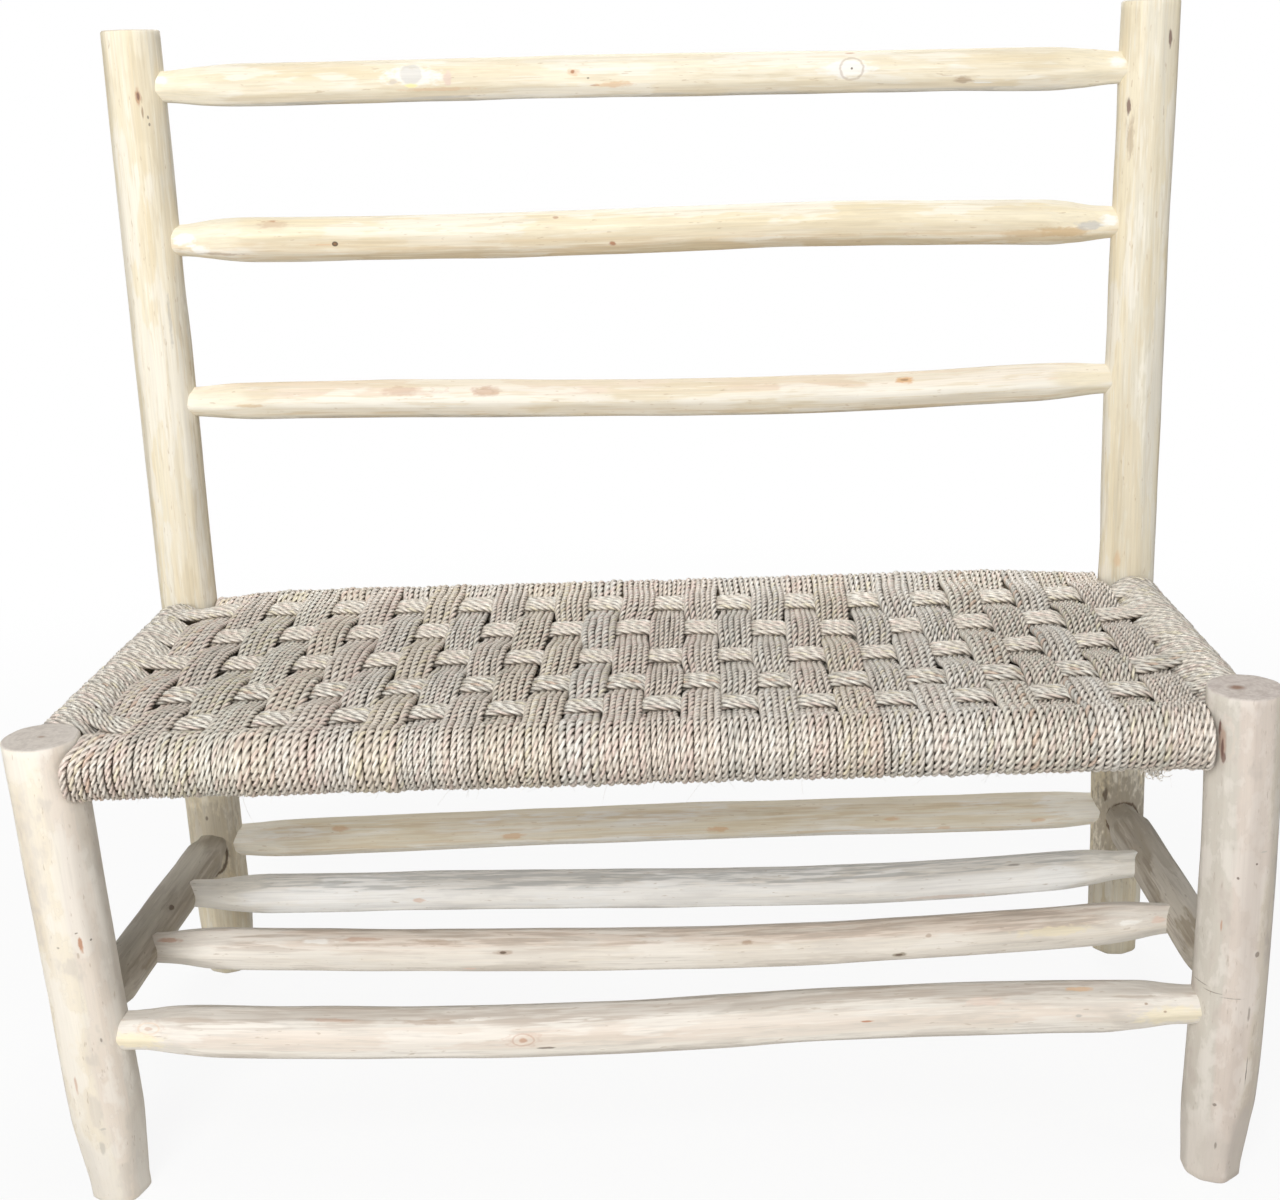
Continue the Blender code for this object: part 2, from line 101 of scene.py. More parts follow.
# Strands of a weft row, in their order on the side rails: place across the row, layer, thickness
ROW_STRANDS = (
    (-0.0090, 1, 0.95), (-0.0060, 1, 0.95), (-0.0030, 1, 0.95), (0.0, 1, 0.95),
    (-0.0124, 0, 0.92), (-0.0062, 0, 0.92), (0.0, 0, 0.92), (0.0062, 0, 0.92), (0.0124, 0, 0.92),
    (0.0030, 1, 0.95), (0.0060, 1, 0.95), (0.0090, 1, 0.95),
)
ROPE_RADIUS = 0.0034
PLIES = 3
# Angles of the points of the rope's section, with its grooves at 60, 180 and 300 degrees
SECTION = np.radians((-25, 25, 60, 95, 145, 180, 215, 265, 300))
GROOVE_REACH = 0.46  # share of the rope's radius at a groove
REACH = np.where(np.cos(PLIES * SECTION) < -0.5, GROOVE_REACH, 1.0) * ROPE_RADIUS
THICK_UNEVEN = 0.04
LAY = 0.0262  # length of one whole turn of the twist
LAY_UNEVEN = 0.09
TWIST_SWING = 0.6  # radians by which the twist runs ahead and behind
SHORT_SWING = 0.13  # wavelength of its short swings
LONG_SWINGS = 5  # number of its long swings in a whole strand
FINE_RINGS = 11  # rings in one turn, where the rope shows
COARSE_RINGS = 5
HIDDEN_RINGS = 40  # in all, on a row's way back inside the seat
RING = LAY / FINE_RINGS
WRAP_RADIUS = 0.0258  # from a seat rail's axis to the rope's middle
WRAP_UNEVEN = 0.0005
# Angles of a half turn round a rail, from its underside by its outer side to its crown
ARC = np.linspace(-0.5 * math.pi, 0.5 * math.pi, int(math.pi * WRAP_RADIUS / RING), endpoint=False)
INSIDE_RADIUS = 0.0190  # from a side rail's axis down to a row's way back

# Weave
ROW_MARGIN = 0.0626  # from the front and back rails' axes to the nearest rows
WEAVE_DROP = 0.0061  # of the weave's middle below the rails' crowns
SEAT_SAG = 0.005
DIP = (0.0045, 0.21, 0.15)  # where the seat is most sat on: depth, place along it, half length
ROW_WANDER = (0.0008, 0.33)
BAND_SWAY = 0.0013
WARP_LIFT = 0.0046  # of a warp band over a row, from the weave's middle
WARP_DIP = 0.0036  # and under one
OVER_FLAT, UNDER_FLAT = 0.010, 0.016  # half length of its level stretch there
UNDER_WIDTH = 0.95  # of a band under a row, as a share of its width over one
WARP_REST, ROW_REST = 0.004, 0.006  # level stretch on a rail's crown
WARP_FADE, ROW_FADE = 0.030, 0.035  # from a rail's crown down to the weave
BAND_CROWN = 0.0010  # of a band's middle turns over its outer ones
WARP_RIPPLE, ROW_RIPPLE = (0.0004, 0.09), (0.0004, 0.08)
WARP_DRIFT, STRAND_DRIFT = (0.0007, 0.13), (0.0006, 0.11)  # sideways
ROW_LIFT = 0.0021  # of a row over or under a band
ROW_FLAT = 0.30  # half length of its level stretch there, as a share of the band's pitch
ROW_CROWN = 0.0013  # of a row's middle strands over its outer ones
ROW_HALF = 0.0150  # half width over which that falls off
LAYER_STEP = 0.0115  # of a row's lower strands, which pass below all bands
DIVE = (0.009, 0.030)  # start and length of their way down
GATHER = ((0.002, 0.060), (0.032, 0.070))  # start and length of the drawing together of a row's two layers
CORNER_PUSH = (-0.0095, 0.0005)  # how far the end turns on the front rail lean out before the posts
CORNER_SWELL = 0.0048
CORNER_ARC = (-1.4, 1.25, 1.0)  # angles between which they do so, and over which that fades
BACK_TAPER = (0.0060, 0.080, 0.130)  # of the back roll's ends: depth, length on the left and on the right
TAPER_REACH = 0.060  # how far before the back rail it starts
# How far each row lies behind its even place, from front to back, at these places along the seat
DRIFT_PLACES = (-0.46, -0.36, -0.20, 0.0, 0.20, 0.40)
ROW_DRIFT = (
    (-0.026, -0.018, -0.008, -0.003, -0.007, -0.005),
    (-0.021, -0.016, -0.008, -0.009, -0.015, -0.016),
    (-0.002, -0.008, 0.000, -0.006, -0.008, -0.011),
    (0.004, 0.010, 0.009, 0.007, -0.006, -0.008),
    (0.020, 0.020, 0.016, 0.006, -0.001, -0.005),
)
ROW_SPREAD = (1.02, 1.15, 1.04, 1.13, 1.15)  # of each row's strands against the places above

# Painted shade and wear: above zero it darkens the rope in the weave, as painted shade and partly as soiling,
# and below zero it lightens it, as painted light; from 0 to 1 it also makes the rope rougher
ROW_SHADE_AND_WEAR = (0.6, 0.35, -0.3, -1.0, -1.1)  # of each row, from front to back
ROLL_SHADE_AND_WEAR = (-0.9, 0.55)  # low on the front roll and at its crown
ROLL_ANGLES = ((0.2,), (1.5,))  # between which that changes
BAND_SHADE_AND_WEAR = (1.0, 2.0, -3.2)  # of a band behind the front rail, further back and on the back roll
EDGE_SHADE_AND_WEAR = 0.55  # share of that at the rails
DEEPEST = 0.6  # where it is darkest, as a share of the seat's depth
BACK_FADE = 0.09  # length before the back rail over which it fades

SEAT_SEED, FIBRE_SEED, POLE_SEED, FINISH_SEED = 7158, 41, 100, 300
rng = np.random.default_rng(SEAT_SEED)


def srgb(red, green, blue):
    """Linear colour of a screen colour given in 0 to 255."""
    share = np.array((red, green, blue)) / 255.0
    linear = np.where(share <= 0.04045, share / 12.92, ((share + 0.055) / 1.055) ** 2.4)
    return tuple(linear) + (1.0,)


def smooth(share):
    """Smooth step: 3 t^2 - 2 t^3 of the share held between 0 and 1."""
    share = np.clip(share, 0.0, 1.0)
    return share * share * (3.0 - 2.0 * share)


def within(places, start, stop, fade):
    """Smooth window: 1 between start and stop, falling to 0 at each over a length of fade."""
    return smooth((places - start) / fade) * smooth((stop - places) / fade)


def steps(places, levels, starts, stops):
    """A level that moves from each of levels to the next, by a smooth step between starts[i] and stops[i]."""
    height = np.full(places.shape, float(levels[0]))
    for before, after, start, stop in zip(levels[:-1], levels[1:], starts, stops):
        height = height + (after - before) * smooth((places - start) / (stop - start))
    return height


def wander(places, drift, draws):
    """Smooth drift of a size over a wavelength: three sines of unlike wavelengths with drawn phases."""
    size, wavelength = drift
    total = np.zeros_like(places)
    for share, weight in ((1.0, 0.55), (0.53, 0.3), (0.29, 0.2)):
        total += weight * np.sin(FULL_TURN * (places / (wavelength * share) + draws.random()))
    return size * total


# Mesh pieces

FIELDS = {"FLOAT": "value", "FLOAT_VECTOR": "vector", "FLOAT_COLOR": "color"}


def add_piece(name, points, faces, finish, attributes, nodes=()):
    """A mesh object from whole arrays: faces is a list of index arrays, one for each number of corners."""
    mesh = bpy.data.meshes.new(name)
    mesh.vertices.add(len(points))
    mesh.vertices.foreach_set("co", np.asarray(points, np.float32).ravel())
    corners = np.concatenate([block.ravel() for block in faces])
    counts = np.concatenate([np.full(len(block), block.shape[1]) for block in faces])
    mesh.loops.add(len(corners))
    mesh.loops.foreach_set("vertex_index", corners.astype(np.int32))
    mesh.polygons.add(len(counts))
    mesh.polygons.foreach_set("loop_start", (np.cumsum(counts) - counts).astype(np.int32))
    mesh.polygons.foreach_set("use_smooth", np.ones(len(counts), bool))
    for label, (kind, values) in attributes.items():
        data = mesh.attributes.new(label, kind, "POINT").data
        data.foreach_set(FIELDS[kind], np.asarray(values, np.float32).ravel())
    mesh.update(calc_edges=True)
    mesh.materials.append(finish)
    piece = bpy.data.objects.new(name, mesh)
    bpy.context.scene.collection.objects.link(piece)
    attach(piece, "root")
    if nodes:
        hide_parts(*nodes)
    return piece


def tube_quads(rings, sides, closed):
    """Quads that join each ring of a grid to the next, and the last to the first if closed."""
    ring = np.arange(rings if closed else rings - 1)[:, None]
    side = np.arange(sides)[None, :]
    ahead, beside = (ring + 1) % rings, (side + 1) % sides
    corners = (ring * sides + side, ring * sides + beside, ahead * sides + beside, ahead * sides + side)
    return np.stack(np.broadcast_arrays(*corners), axis=-1).reshape(-1, 4)


def many_tubes(tubes, rings, sides, closed):
    """Quads of several such grids, whose points follow each other."""
    return np.concatenate([tube_quads(rings, sides, closed) + tube * rings * sides for tube in range(tubes)])


# Reading the poles from the frame


def node_edges(node):
    """Both end points of each edge of a node's mesh."""
    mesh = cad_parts[node].data
    points = np.empty(len(mesh.vertices) * 3)
    mesh.vertices.foreach_get("co", points)
    ends = np.empty(len(mesh.edges) * 2, np.int32)
    mesh.edges.foreach_get("vertices", ends)
    return points.reshape(-1, 3)[ends.reshape(-1, 2)]


def fit_circle(points):
    """Middle and radius of the circle nearest to flat points, by least squares on |p|^2 = 2 c.p + k."""
    for _ in range(FIT_ROUNDS):
        system = np.column_stack((2.0 * points, np.ones(len(points))))
        answer = np.linalg.lstsq(system, (points**2).sum(axis=1), rcond=None)[0]
        reach = np.linalg.norm(points - answer[:2], axis=1)
        points = points[reach > MORTISE_SHARE * np.percentile(reach, RIM_PERCENTS[0])]
    return answer[0], answer[1], np.percentile(reach, RIM_PERCENTS[1])


class PoleLine:
    """A pole's ends, axis and radius, from cuts across its solid.

    Edges that cross a plane give the cut's points, and a circle is fitted to them. The middles then follow a
    polynomial, so that the pole bends smoothly.
    """

    def __init__(self, node, axis):
        self.axis = axis
        self.across = [i for i in range(3) if i != axis]
        edges = node_edges(node)
        self.low, self.high = edges[..., axis].min(), edges[..., axis].max()
        cuts = int((self.high - self.low) / CUT_STEP)
        self.places = np.linspace(self.low + CUT_MARGIN, self.high - CUT_MARGIN, cuts)
        rows = np.array([self.cut(edges, place) for place in self.places])
        self.radii = rows[:, 2]
        self.curves = [
            np.polynomial.Polynomial.fit(self.places, rows[:, i], LINE_DEGREE, domain=(self.low, self.high))
            for i in (0, 1)
        ]
        self.body = np.median(self.radii)

    def cut(self, edges, place):
        offset = edges[..., self.axis] - place
        crossed = offset[:, 0] * offset[:, 1] < 0.0
        share = (offset[crossed, 0] / (offset[crossed, 0] - offset[crossed, 1]))[:, None]
        start, end = edges[crossed, 0][:, self.across], edges[crossed, 1][:, self.across]
        return fit_circle(start + share * (end - start))

    def centre(self, at):
        """Points of the axis at these places along it."""
        points = np.empty((len(at), 3))
        points[:, self.axis] = at
        for column, curve in zip(self.across, self.curves):
            points[:, column] = curve(at)
        return points

    def radius(self, at):
        return np.interp(at, self.places, self.radii)


# Hewn poles


class Pole(NamedTuple):
    """A pole's node, axis, side that shows, number and depth of facets, wood and slot."""

    node: str
    axis: int
    shows: tuple
    facets: int
    depth: float
    wood: str
    slot: str


def flat_cut(around, direction, distance):
    """How near a flat cut comes at each angle: (cos(angle - direction) / distance)^p, rows along the pole."""
    facing = np.maximum(np.cos(around[None, :] - direction[:, None]), 0.0) / distance[:, None]
    return facing**FACET_SHARPNESS


def hewn_section(line, places, around, pole, draws):
    """Radius, facet tone and share of whittling at each place along a pole and angle round it.

    A section is the least of a circle and of flat cuts at distance / cos(angle), softened as the sum of
    their (1 / radius)^p to the power -1/p. Long facets drift in depth and direction along the pole. At the
    ends each whittled facet takes the solid's own taper, moved along the pole by its own amount.
    """
    body = line.body * FACET_SWELL * (1.0 + wander(places, BODY_DRIFT, draws))
    total = np.repeat(body[:, None] ** -FACET_SHARPNESS, len(around), axis=1)
    tone, whittled = np.zeros_like(total), np.zeros_like(total)
    first = draws.random() * FULL_TURN
    for k in range(pole.facets):
        direction = first + FULL_TURN * (k + FACET_SPREAD * (draws.random() - 0.5)) / pole.facets
        direction = direction + wander(places, FACET_DRIFT, draws)
        depth = pole.depth * (FACET_DEPTH + wander(places, DEPTH_DRIFT, draws))
        cut = depth + wander(places, TOOL_DRIFT, draws)
        power = flat_cut(around, direction, body * (1.0 - cut))
        total += power
        tone += power * draws.uniform(-1.0, 1.0)
    level, uneven = END_DEPTH
    for k in range(END_CUTS):
        direction = first + FULL_TURN * (k + END_SPREAD * (draws.random() - 0.5)) / END_CUTS
        direction = np.full(len(places), direction)
        for sign in (1.0, -1.0):
            taper = line.radius(places + sign * END_SHIFT * draws.random()) * FACET_SWELL
            bite = smooth((1.0 - taper / body) * END_ONSET)
            distance = taper * (level - uneven * draws.random()) + END_CLEAR * body * (1.0 - bite)
            power = flat_cut(around, direction, distance)
            total += power
            tone += power * bite[:, None] * draws.uniform(-1.0, 1.0)
            whittled += power * bite[:, None]
    total += (line.radius(places) * FACET_SWELL * CORNER_LEVEL)[:, None] ** -FACET_SHARPNESS
    return total ** (-1.0 / FACET_SHARPNESS), tone / total, whittled / total


def add_ends(rows, ends):
    """Rows of a grid with the rows of both ends put before and after them."""
    return np.concatenate((ends[0], rows, ends[1]))


def hewn_pole(pole, line, finish, seed):
    """One pole as rings round its axis, closed by flat ends whose rings shrink to a middle point."""
    draws = np.random.default_rng(seed)
    line.high += RAISED.get(pole.node, 0.0)
    sawn = float(pole.axis == Z)
    bevel = RIM_BEVEL * sawn
    places = np.linspace(line.low + bevel, line.high - bevel, int((line.high - line.low) / RING_STEP) + 1)
    around = np.arange(POLE_SIDES) * FULL_TURN / POLE_SIDES
    reach, tone, whittled = hewn_section(line, places, around, pole, draws)
    shares = np.array(CAP_SHARES)
    flat = add_ends(np.zeros(len(places)), [np.full(len(shares), sawn)] * 2)
    reach = add_ends(reach, [order[:, None] * reach[end] for end, order in ((0, shares[::-1]), (-1, shares))])
    tone, whittled = (
        add_ends(rows, [np.repeat(rows[end][None], len(shares), axis=0) for end in (0, -1)])
        for rows in (tone, whittled)
    )
    places = add_ends(places, [np.full(len(shares), end) for end in (line.low, line.high)])
    along, ahead = np.eye(3)[pole.axis], np.asarray(pole.shows, float)
    out = np.cos(around)[:, None] * ahead + np.sin(around)[:, None] * np.cross(along, ahead)
    grid = line.centre(places)[:, None, :] + reach[..., None] * out[None]
    middles = line.centre(np.array((line.low, line.high)))
    rings, sides = reach.shape
    grain = np.empty((rings, sides, 3))
    grain[..., 0] = places[:, None]
    grain[..., 1] = reach * np.cos(around)
    grain[..., 2] = reach * np.sin(around)
    middle_grain = ((line.low, 0.0, 0.0), (line.high, 0.0, 0.0))
    attributes = {
        "grain_place": ("FLOAT_VECTOR", np.concatenate((grain.reshape(-1, 3), middle_grain))),
        "facet_tone": ("FLOAT", np.concatenate((tone.ravel(), (0.0, 0.0)))),
        "whittled": ("FLOAT", np.concatenate((whittled.ravel(), (0.0, 0.0)))),
        "sawn": ("FLOAT", np.concatenate((np.repeat(flat, sides), (sawn, sawn)))),
    }
    side = np.arange(sides)
    beside, last = (side + 1) % sides, (rings - 1) * sides
    bottom = np.column_stack((np.full(sides, rings * sides), beside, side))
    top = np.column_stack((np.full(sides, rings * sides + 1), last + side, last + beside))
    points = np.concatenate((grid.reshape(-1, 3), middles))
    faces = [tube_quads(rings, sides, False), bottom, top]
    piece = add_piece(f"{pole.node}_wood", points, faces, finish, attributes, (pole.node,))
    piece.data.set_sharp_from_angle(angle=SHARP_EDGE)


# Rope seat


def rail_line(node, axis):
    """Straight line of a seat rail: its point at a place along it."""
    line = PoleLine(node, axis)
    ends = line.centre(np.array((line.low, line.high)))

    def at(place):
        share = ((np.asarray(place) - line.low) / (line.high - line.low))[..., None]
        return ends[0] + share * (ends[1] - ends[0])

    return at


class Seat:
    """Places of the weave, worked out from the seat rails and the rope solids in the frame."""

    def __init__(self):
        self.front, self.back = rail_line("front_seat_rail", X), rail_line("back_seat_rail", X)
        self.left, self.right = rail_line("left_seat_rail", Y), rail_line("right_seat_rail", Y)
        self.low_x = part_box("warp_band_01")[0].x
        self.high_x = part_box(f"warp_band_{BAND_COUNT:02d}")[1].x
        self.low_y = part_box("weft_row_1")[0].y
        self.high_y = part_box(f"weft_row_{ROW_COUNT}")[1].y
        self.band_pitch = (self.high_x - self.low_x) / BAND_COUNT
        self.bands = self.low_x + (np.arange(BAND_COUNT) + 0.5) * self.band_pitch
        front_y, back_y = float(self.front(0.0)[1]), float(self.back(0.0)[1])
        rows = np.linspace(front_y + ROW_MARGIN, back_y - ROW_MARGIN, ROW_COUNT)
        # Hand weaving: each row wanders a little along the seat, and each band sways a little on its way back
        drift = np.array([np.interp(self.bands, DRIFT_PLACES, row) for row in ROW_DRIFT])
        self.row_y = rows[:, None] + drift + np.array([wander(self.bands, ROW_WANDER, rng) for _ in rows])
        self.band_sway = BAND_SWAY * rng.standard_normal((BAND_COUNT, ROW_COUNT))

    def crown(self, x, y):
        """Height of the rope's middle over the rails' crowns, spread over the seat."""
        front, back = self.front(x), self.back(x)
        share = (y - front[..., 1]) / (back[..., 1] - front[..., 1])
        return front[..., 2] + share * (back[..., 2] - front[..., 2]) + WRAP_RADIUS

    def weave(self, x, y):
        """Height of the weave's middle: below the crowns, hollowed by sines each way and a bell's curve."""
        along = np.clip((x - self.low_x) / (self.high_x - self.low_x), 0.0, 1.0)
        deep = np.clip((y - self.low_y) / (self.high_y - self.low_y), 0.0, 1.0)
        depth, place, half = DIP
        hollow = SEAT_SAG * np.sin(math.pi * along) + depth * np.exp(-(((x - place) / half) ** 2))
        return self.crown(x, y) - WEAVE_DROP - hollow * np.sin(math.pi * deep)

    def level(self, x, y, inside):
        """Height from the rails' crowns, where inside is 0, to the weave's middle, where it is 1."""
        return self.crown(x, y) * (1.0 - inside) + self.weave(x, y) * inside

    def back_taper(self, x):
        """How much thinner the back roll is near its ends, fading inwards by a smooth step."""
        depth, left, right = BACK_TAPER
        return depth * (2.0 - smooth((x - self.low_x) / left) - smooth((self.high_x - x) / right))


def warp_over(band, row):
    return (band + row) % 2 == 1


def corner_share(band, strand, strands):
    """Share of the way out to a post that a turn leans: the end bands spread evenly towards it."""
    if band == 0:
        return 1.0 - strand / strands
    if band == BAND_COUNT - 1:
        return (strand + 1.0) / strands
    return 0.0


def warp_paths(seat, band, strands, draws):
    """Closed paths of a band's rope turns, and the painted shade and wear of each point.

    Each goes up round the front rail, back over and under the rows by smooth steps, down round the back
    rail and forward again below. The turns lie evenly on the rails and are drawn together in the weave.
    """
    x = seat.bands[band]
    front, back = seat.front(x), seat.back(x)
    depth = back[1] - front[1]
    run = np.linspace(front[1], back[1], int(depth / RING), endpoint=False)
    below = np.linspace(back[1], front[1], int(depth * COARSE_RINGS / LAY), endpoint=False)
    levels, widths, starts, stops = [0.0], [1.0], [front[1] + WARP_REST], []
    for row in range(ROW_COUNT):
        over = warp_over(band, row)
        flat = OVER_FLAT if over else UNDER_FLAT
        levels.append(WARP_LIFT if over else -WARP_DIP)
        widths.append(1.0 if over else UNDER_WIDTH)
        stops.append(seat.row_y[row, band] - flat)
        starts.append(seat.row_y[row, band] + flat)
    stops.append(back[1] - WARP_REST)
    inside = within(run, front[1], back[1], WARP_FADE)
    lift = steps(run, levels + [0.0], starts, stops)
    drawn = steps(run, widths + [1.0], starts, stops)
    sway = steps(run, [0.0, *seat.band_sway[band], 0.0], starts, stops)
    bulge = within(ARC, *CORNER_ARC)
    paths = []
    for strand in range(strands):
        offset = (strand - 0.5 * (strands - 1)) * seat.band_pitch / strands
        edge = abs(2.0 * offset / seat.band_pitch)
        share = corner_share(band, strand, strands)
        push = share * CORNER_PUSH[0 if band == 0 else 1]
        swell = WRAP_RADIUS + WRAP_UNEVEN * draws.standard_normal()
        front_swell = swell + CORNER_SWELL * bulge * share
        taper = seat.back_taper(x + offset)
        back_swell = swell - taper
        level = seat.level(x, run, inside) + lift
        level += BAND_CROWN * (1.0 - edge**2) * inside + wander(run, WARP_RIPPLE, draws)
        level -= taper * smooth(1.0 - (back[1] - run) / TAPER_REACH)
        straight = np.full(len(ARC) + len(below), offset)
        side = np.concatenate((offset + push * bulge, offset * drawn + sway, straight))
        front_y, back_y = front[1] - front_swell * np.cos(ARC), back[1] + back_swell * np.cos(ARC)
        y = np.concatenate((front_y, run, back_y, below))
        z = np.concatenate((
            front[2] + front_swell * np.sin(ARC),
            level,
            back[2] - back_swell * np.sin(ARC),
            np.linspace(back[2] - back_swell, front[2] - swell, len(below)),
        ))
        side += wander(np.arange(len(y)) * RING, WARP_DRIFT, draws)
        paths.append(np.column_stack((x + side, y, z)))
    # Painted light low on the front roll and on the back roll, and painted shade at the roll's crown and,
    # partly as soiling, in the weave
    roll = steps(ARC, ROLL_SHADE_AND_WEAR, *ROLL_ANGLES)
    weave = steps(run, BAND_SHADE_AND_WEAR, (front[1], back[1] - BACK_FADE), (front[1] + DEEPEST * depth, back[1]))
    weave *= EDGE_SHADE_AND_WEAR + (1.0 - EDGE_SHADE_AND_WEAR) * inside
    return np.array(paths), np.concatenate((roll, weave, np.full(len(ARC), weave[-1]), np.zeros(len(below))))


def weft_paths(seat, row, draws):
    """Closed paths of a row's strands, and the painted shade and wear of each point.

    Each goes up round the left rail, over one band and under the next by smooth steps, down round the
    right rail and back inside the seat. The strands lie evenly on the side rails. Those of the lower layer
    dive at the rails' inner side and pass below the bands, and the others draw together.
    """
    middle = 0.5 * (seat.low_y + seat.high_y)
    left, right = seat.left(middle)[0], seat.right(middle)[0]
    run = np.linspace(left, right, int((right - left) / RING), endpoint=False)
    below = np.linspace(right, left, HIDDEN_RINGS, endpoint=False)
    flat = ROW_FLAT * seat.band_pitch
    lifts = [-ROW_LIFT if warp_over(band, row) else ROW_LIFT for band in range(BAND_COUNT)]
    starts, stops = [left + ROW_REST, *(seat.bands + flat)], [*(seat.bands - flat), right - ROW_REST]
    lift = steps(run, [0.0, *lifts, 0.0], starts, stops)
    inside = within(run, left, right, ROW_FADE)
    dive = within(run, left + DIVE[0], right - DIVE[0], DIVE[1])
    row_y = np.interp(run, seat.bands, seat.row_y[row])
    count = len(ROW_STRANDS)
    fan_pitch = (seat.high_y - seat.low_y) / (ROW_COUNT * count)
    paths = []
    for strand, (place, lower, _) in enumerate(ROW_STRANDS):
        place *= ROW_SPREAD[row]
        fan_y = seat.low_y + (row * count + strand + 0.5) * fan_pitch
        start, length = GATHER[lower]
        gather = within(run, left + start, right - start, length)
        y = fan_y + (row_y + place - fan_y) * gather + wander(run, STRAND_DRIFT, draws)
        crown = ROW_CROWN * (1.0 - (place / ROW_HALF) ** 2)
        rail_left, rail_right = seat.left(fan_y), seat.right(fan_y)
        swell = WRAP_RADIUS + WRAP_UNEVEN * draws.standard_normal()
        level = seat.level(run, y, inside) + wander(run, ROW_RIPPLE, draws)
        level += -LAYER_STEP * dive if lower else lift + crown * gather
        left_x, right_x = rail_left[0] - swell * np.cos(ARC), rail_right[0] + swell * np.cos(ARC)
        x = np.concatenate((left_x, run, right_x, below))
        y = np.concatenate((np.full(len(ARC), fan_y), y, np.full(len(ARC) + len(below), fan_y)))
        z = np.concatenate((
            rail_left[2] + swell * np.sin(ARC),
            level,
            rail_right[2] - swell * np.sin(ARC),
            np.linspace(rail_right[2], rail_left[2], len(below)) - INSIDE_RADIUS,
        ))
        paths.append(np.column_stack((x, y, z)))
    # Painted shade in the two front rows and painted light in the rows behind them, in the weave alone
    shade_and_wear = np.concatenate((np.zeros(len(ARC)), ROW_SHADE_AND_WEAR[row] * inside, np.zeros(len(ARC) + len(below))))
    return np.array(paths), shade_and_wear


def twisted_rope(paths, sideways, thick, draws):
    """Twisted strands along closed paths: the section turns with the distance along, by whole turns in all.

    Gives points of shape (strands, rings, section, 3), how far up each lies in its strand (-1 to 1, towards
    travel x sideways), how far it faces aside (0 to 1) and the distance along. Rising turns about the
    direction of travel twist right-handed.
    """
    ahead = np.roll(paths, -1, axis=1)
    length = np.linalg.norm(ahead - paths, axis=2)
    total = length.sum(axis=1, keepdims=True)
    along = np.cumsum(length, axis=1) - length
    travel = ahead - np.roll(paths, 1, axis=1)
    travel /= np.linalg.norm(travel, axis=2, keepdims=True)
    side = np.asarray(sideways, float) - (travel @ np.asarray(sideways, float))[..., None] * travel
    side /= np.linalg.norm(side, axis=2, keepdims=True)
    up = np.cross(travel, side)
    strands = len(paths)
    turns = np.round(total / (LAY * (1.0 + LAY_UNEVEN * draws.standard_normal((strands, 1)))))
    swing = np.sin(FULL_TURN * (np.round(total / SHORT_SWING) * along / total + draws.random()))
    swing += np.sin(FULL_TURN * (LONG_SWINGS * along / total + draws.random((strands, 1))))
    twist = FULL_TURN * (turns * along / total + draws.random((strands, 1))) + TWIST_SWING * swing
    spun = twist[..., None] + SECTION
    size = REACH * (np.reshape(thick, (-1, 1, 1)) + THICK_UNEVEN * draws.standard_normal((strands, 1, 1)))
    points = paths[:, :, None, :] + size[..., None] * (
        np.cos(spun)[..., None] * side[:, :, None, :] + np.sin(spun)[..., None] * up[:, :, None, :]
    )
    return points, np.sin(spun) * REACH / REACH.max(), np.abs(np.cos(spun)), along


ROPE_TINTS = (
    # colour of a ply and how often it comes
    (srgb(246, 238, 226), 0.34),
    (srgb(238, 229, 217), 0.24),
    (srgb(250, 245, 235), 0.16),
    (srgb(241, 226, 215), 0.12),
    (srgb(224, 219, 208), 0.09),
    (srgb(242, 233, 211), 0.04),
    (srgb(226, 203, 184), 0.01),
)
FIBRE_TINT = srgb(236, 229, 217)
BAND_CASTS = (
    # cast of a whole band: as it is, pinkish, tan and greenish grey
    (1.0, 1.0, 1.0),
    (1.0, 0.965, 0.945),
    (0.985, 0.955, 0.905),
    (0.965, 0.965, 0.935),
)
CAST_ODDS, END_CAST_ODDS = (0.52, 0.30, 0.18, 0.0), (0.45, 0.10, 0.15, 0.30)
CAST_ENDS = 5  # bands at each end of the seat with the second odds
ROW_CAST = (0.985, 0.983, 0.968)
GROOVE_SHADE_DEPTH = 0.45  # how much the shade and wear value deepens the painted shade of the grooves
DOT_FACING = (0.35, 0.5)  # how far aside a groove's dots of painted shade start, and over how much they grow
DEEP_HEIGHT = (-0.8, 1.3)  # height in a strand at which the inner side's painted shade fades, and over how much
LIGHTEST = 0.97  # of the rope's tints
SHADE_WARMTH = (1.0, 1.07, 1.12)  # powers of the painted shade, so that its dark places are browner
FIBRE_SHIFT = 40.0  # at most, so that no two strands share their streaks


class RopeKind(NamedTuple):
    """How the strands of the warp or the weft lie and how shade is painted on them."""

    sideways: tuple  # direction across them
    outwards: float  # 1 if travel x sideways points out of the seat, and -1 if into it
    shade_and_wear: float  # painted shade of the colour at a shade and wear value of 1
    groove: float  # painted shade between two plies
    deep: float  # painted shade on the inner side of a strand
    dot: float  # painted shade where a groove meets the next strand
    slot: str


WARP = RopeKind((1, 0, 0), -1.0, 0.95, 0.40, 0.72, 0.08, "rope_warp")
WEFT = RopeKind((0, 1, 0), 1.0, 0.92, 0.36, 0.55, 0.45, "rope_weft")


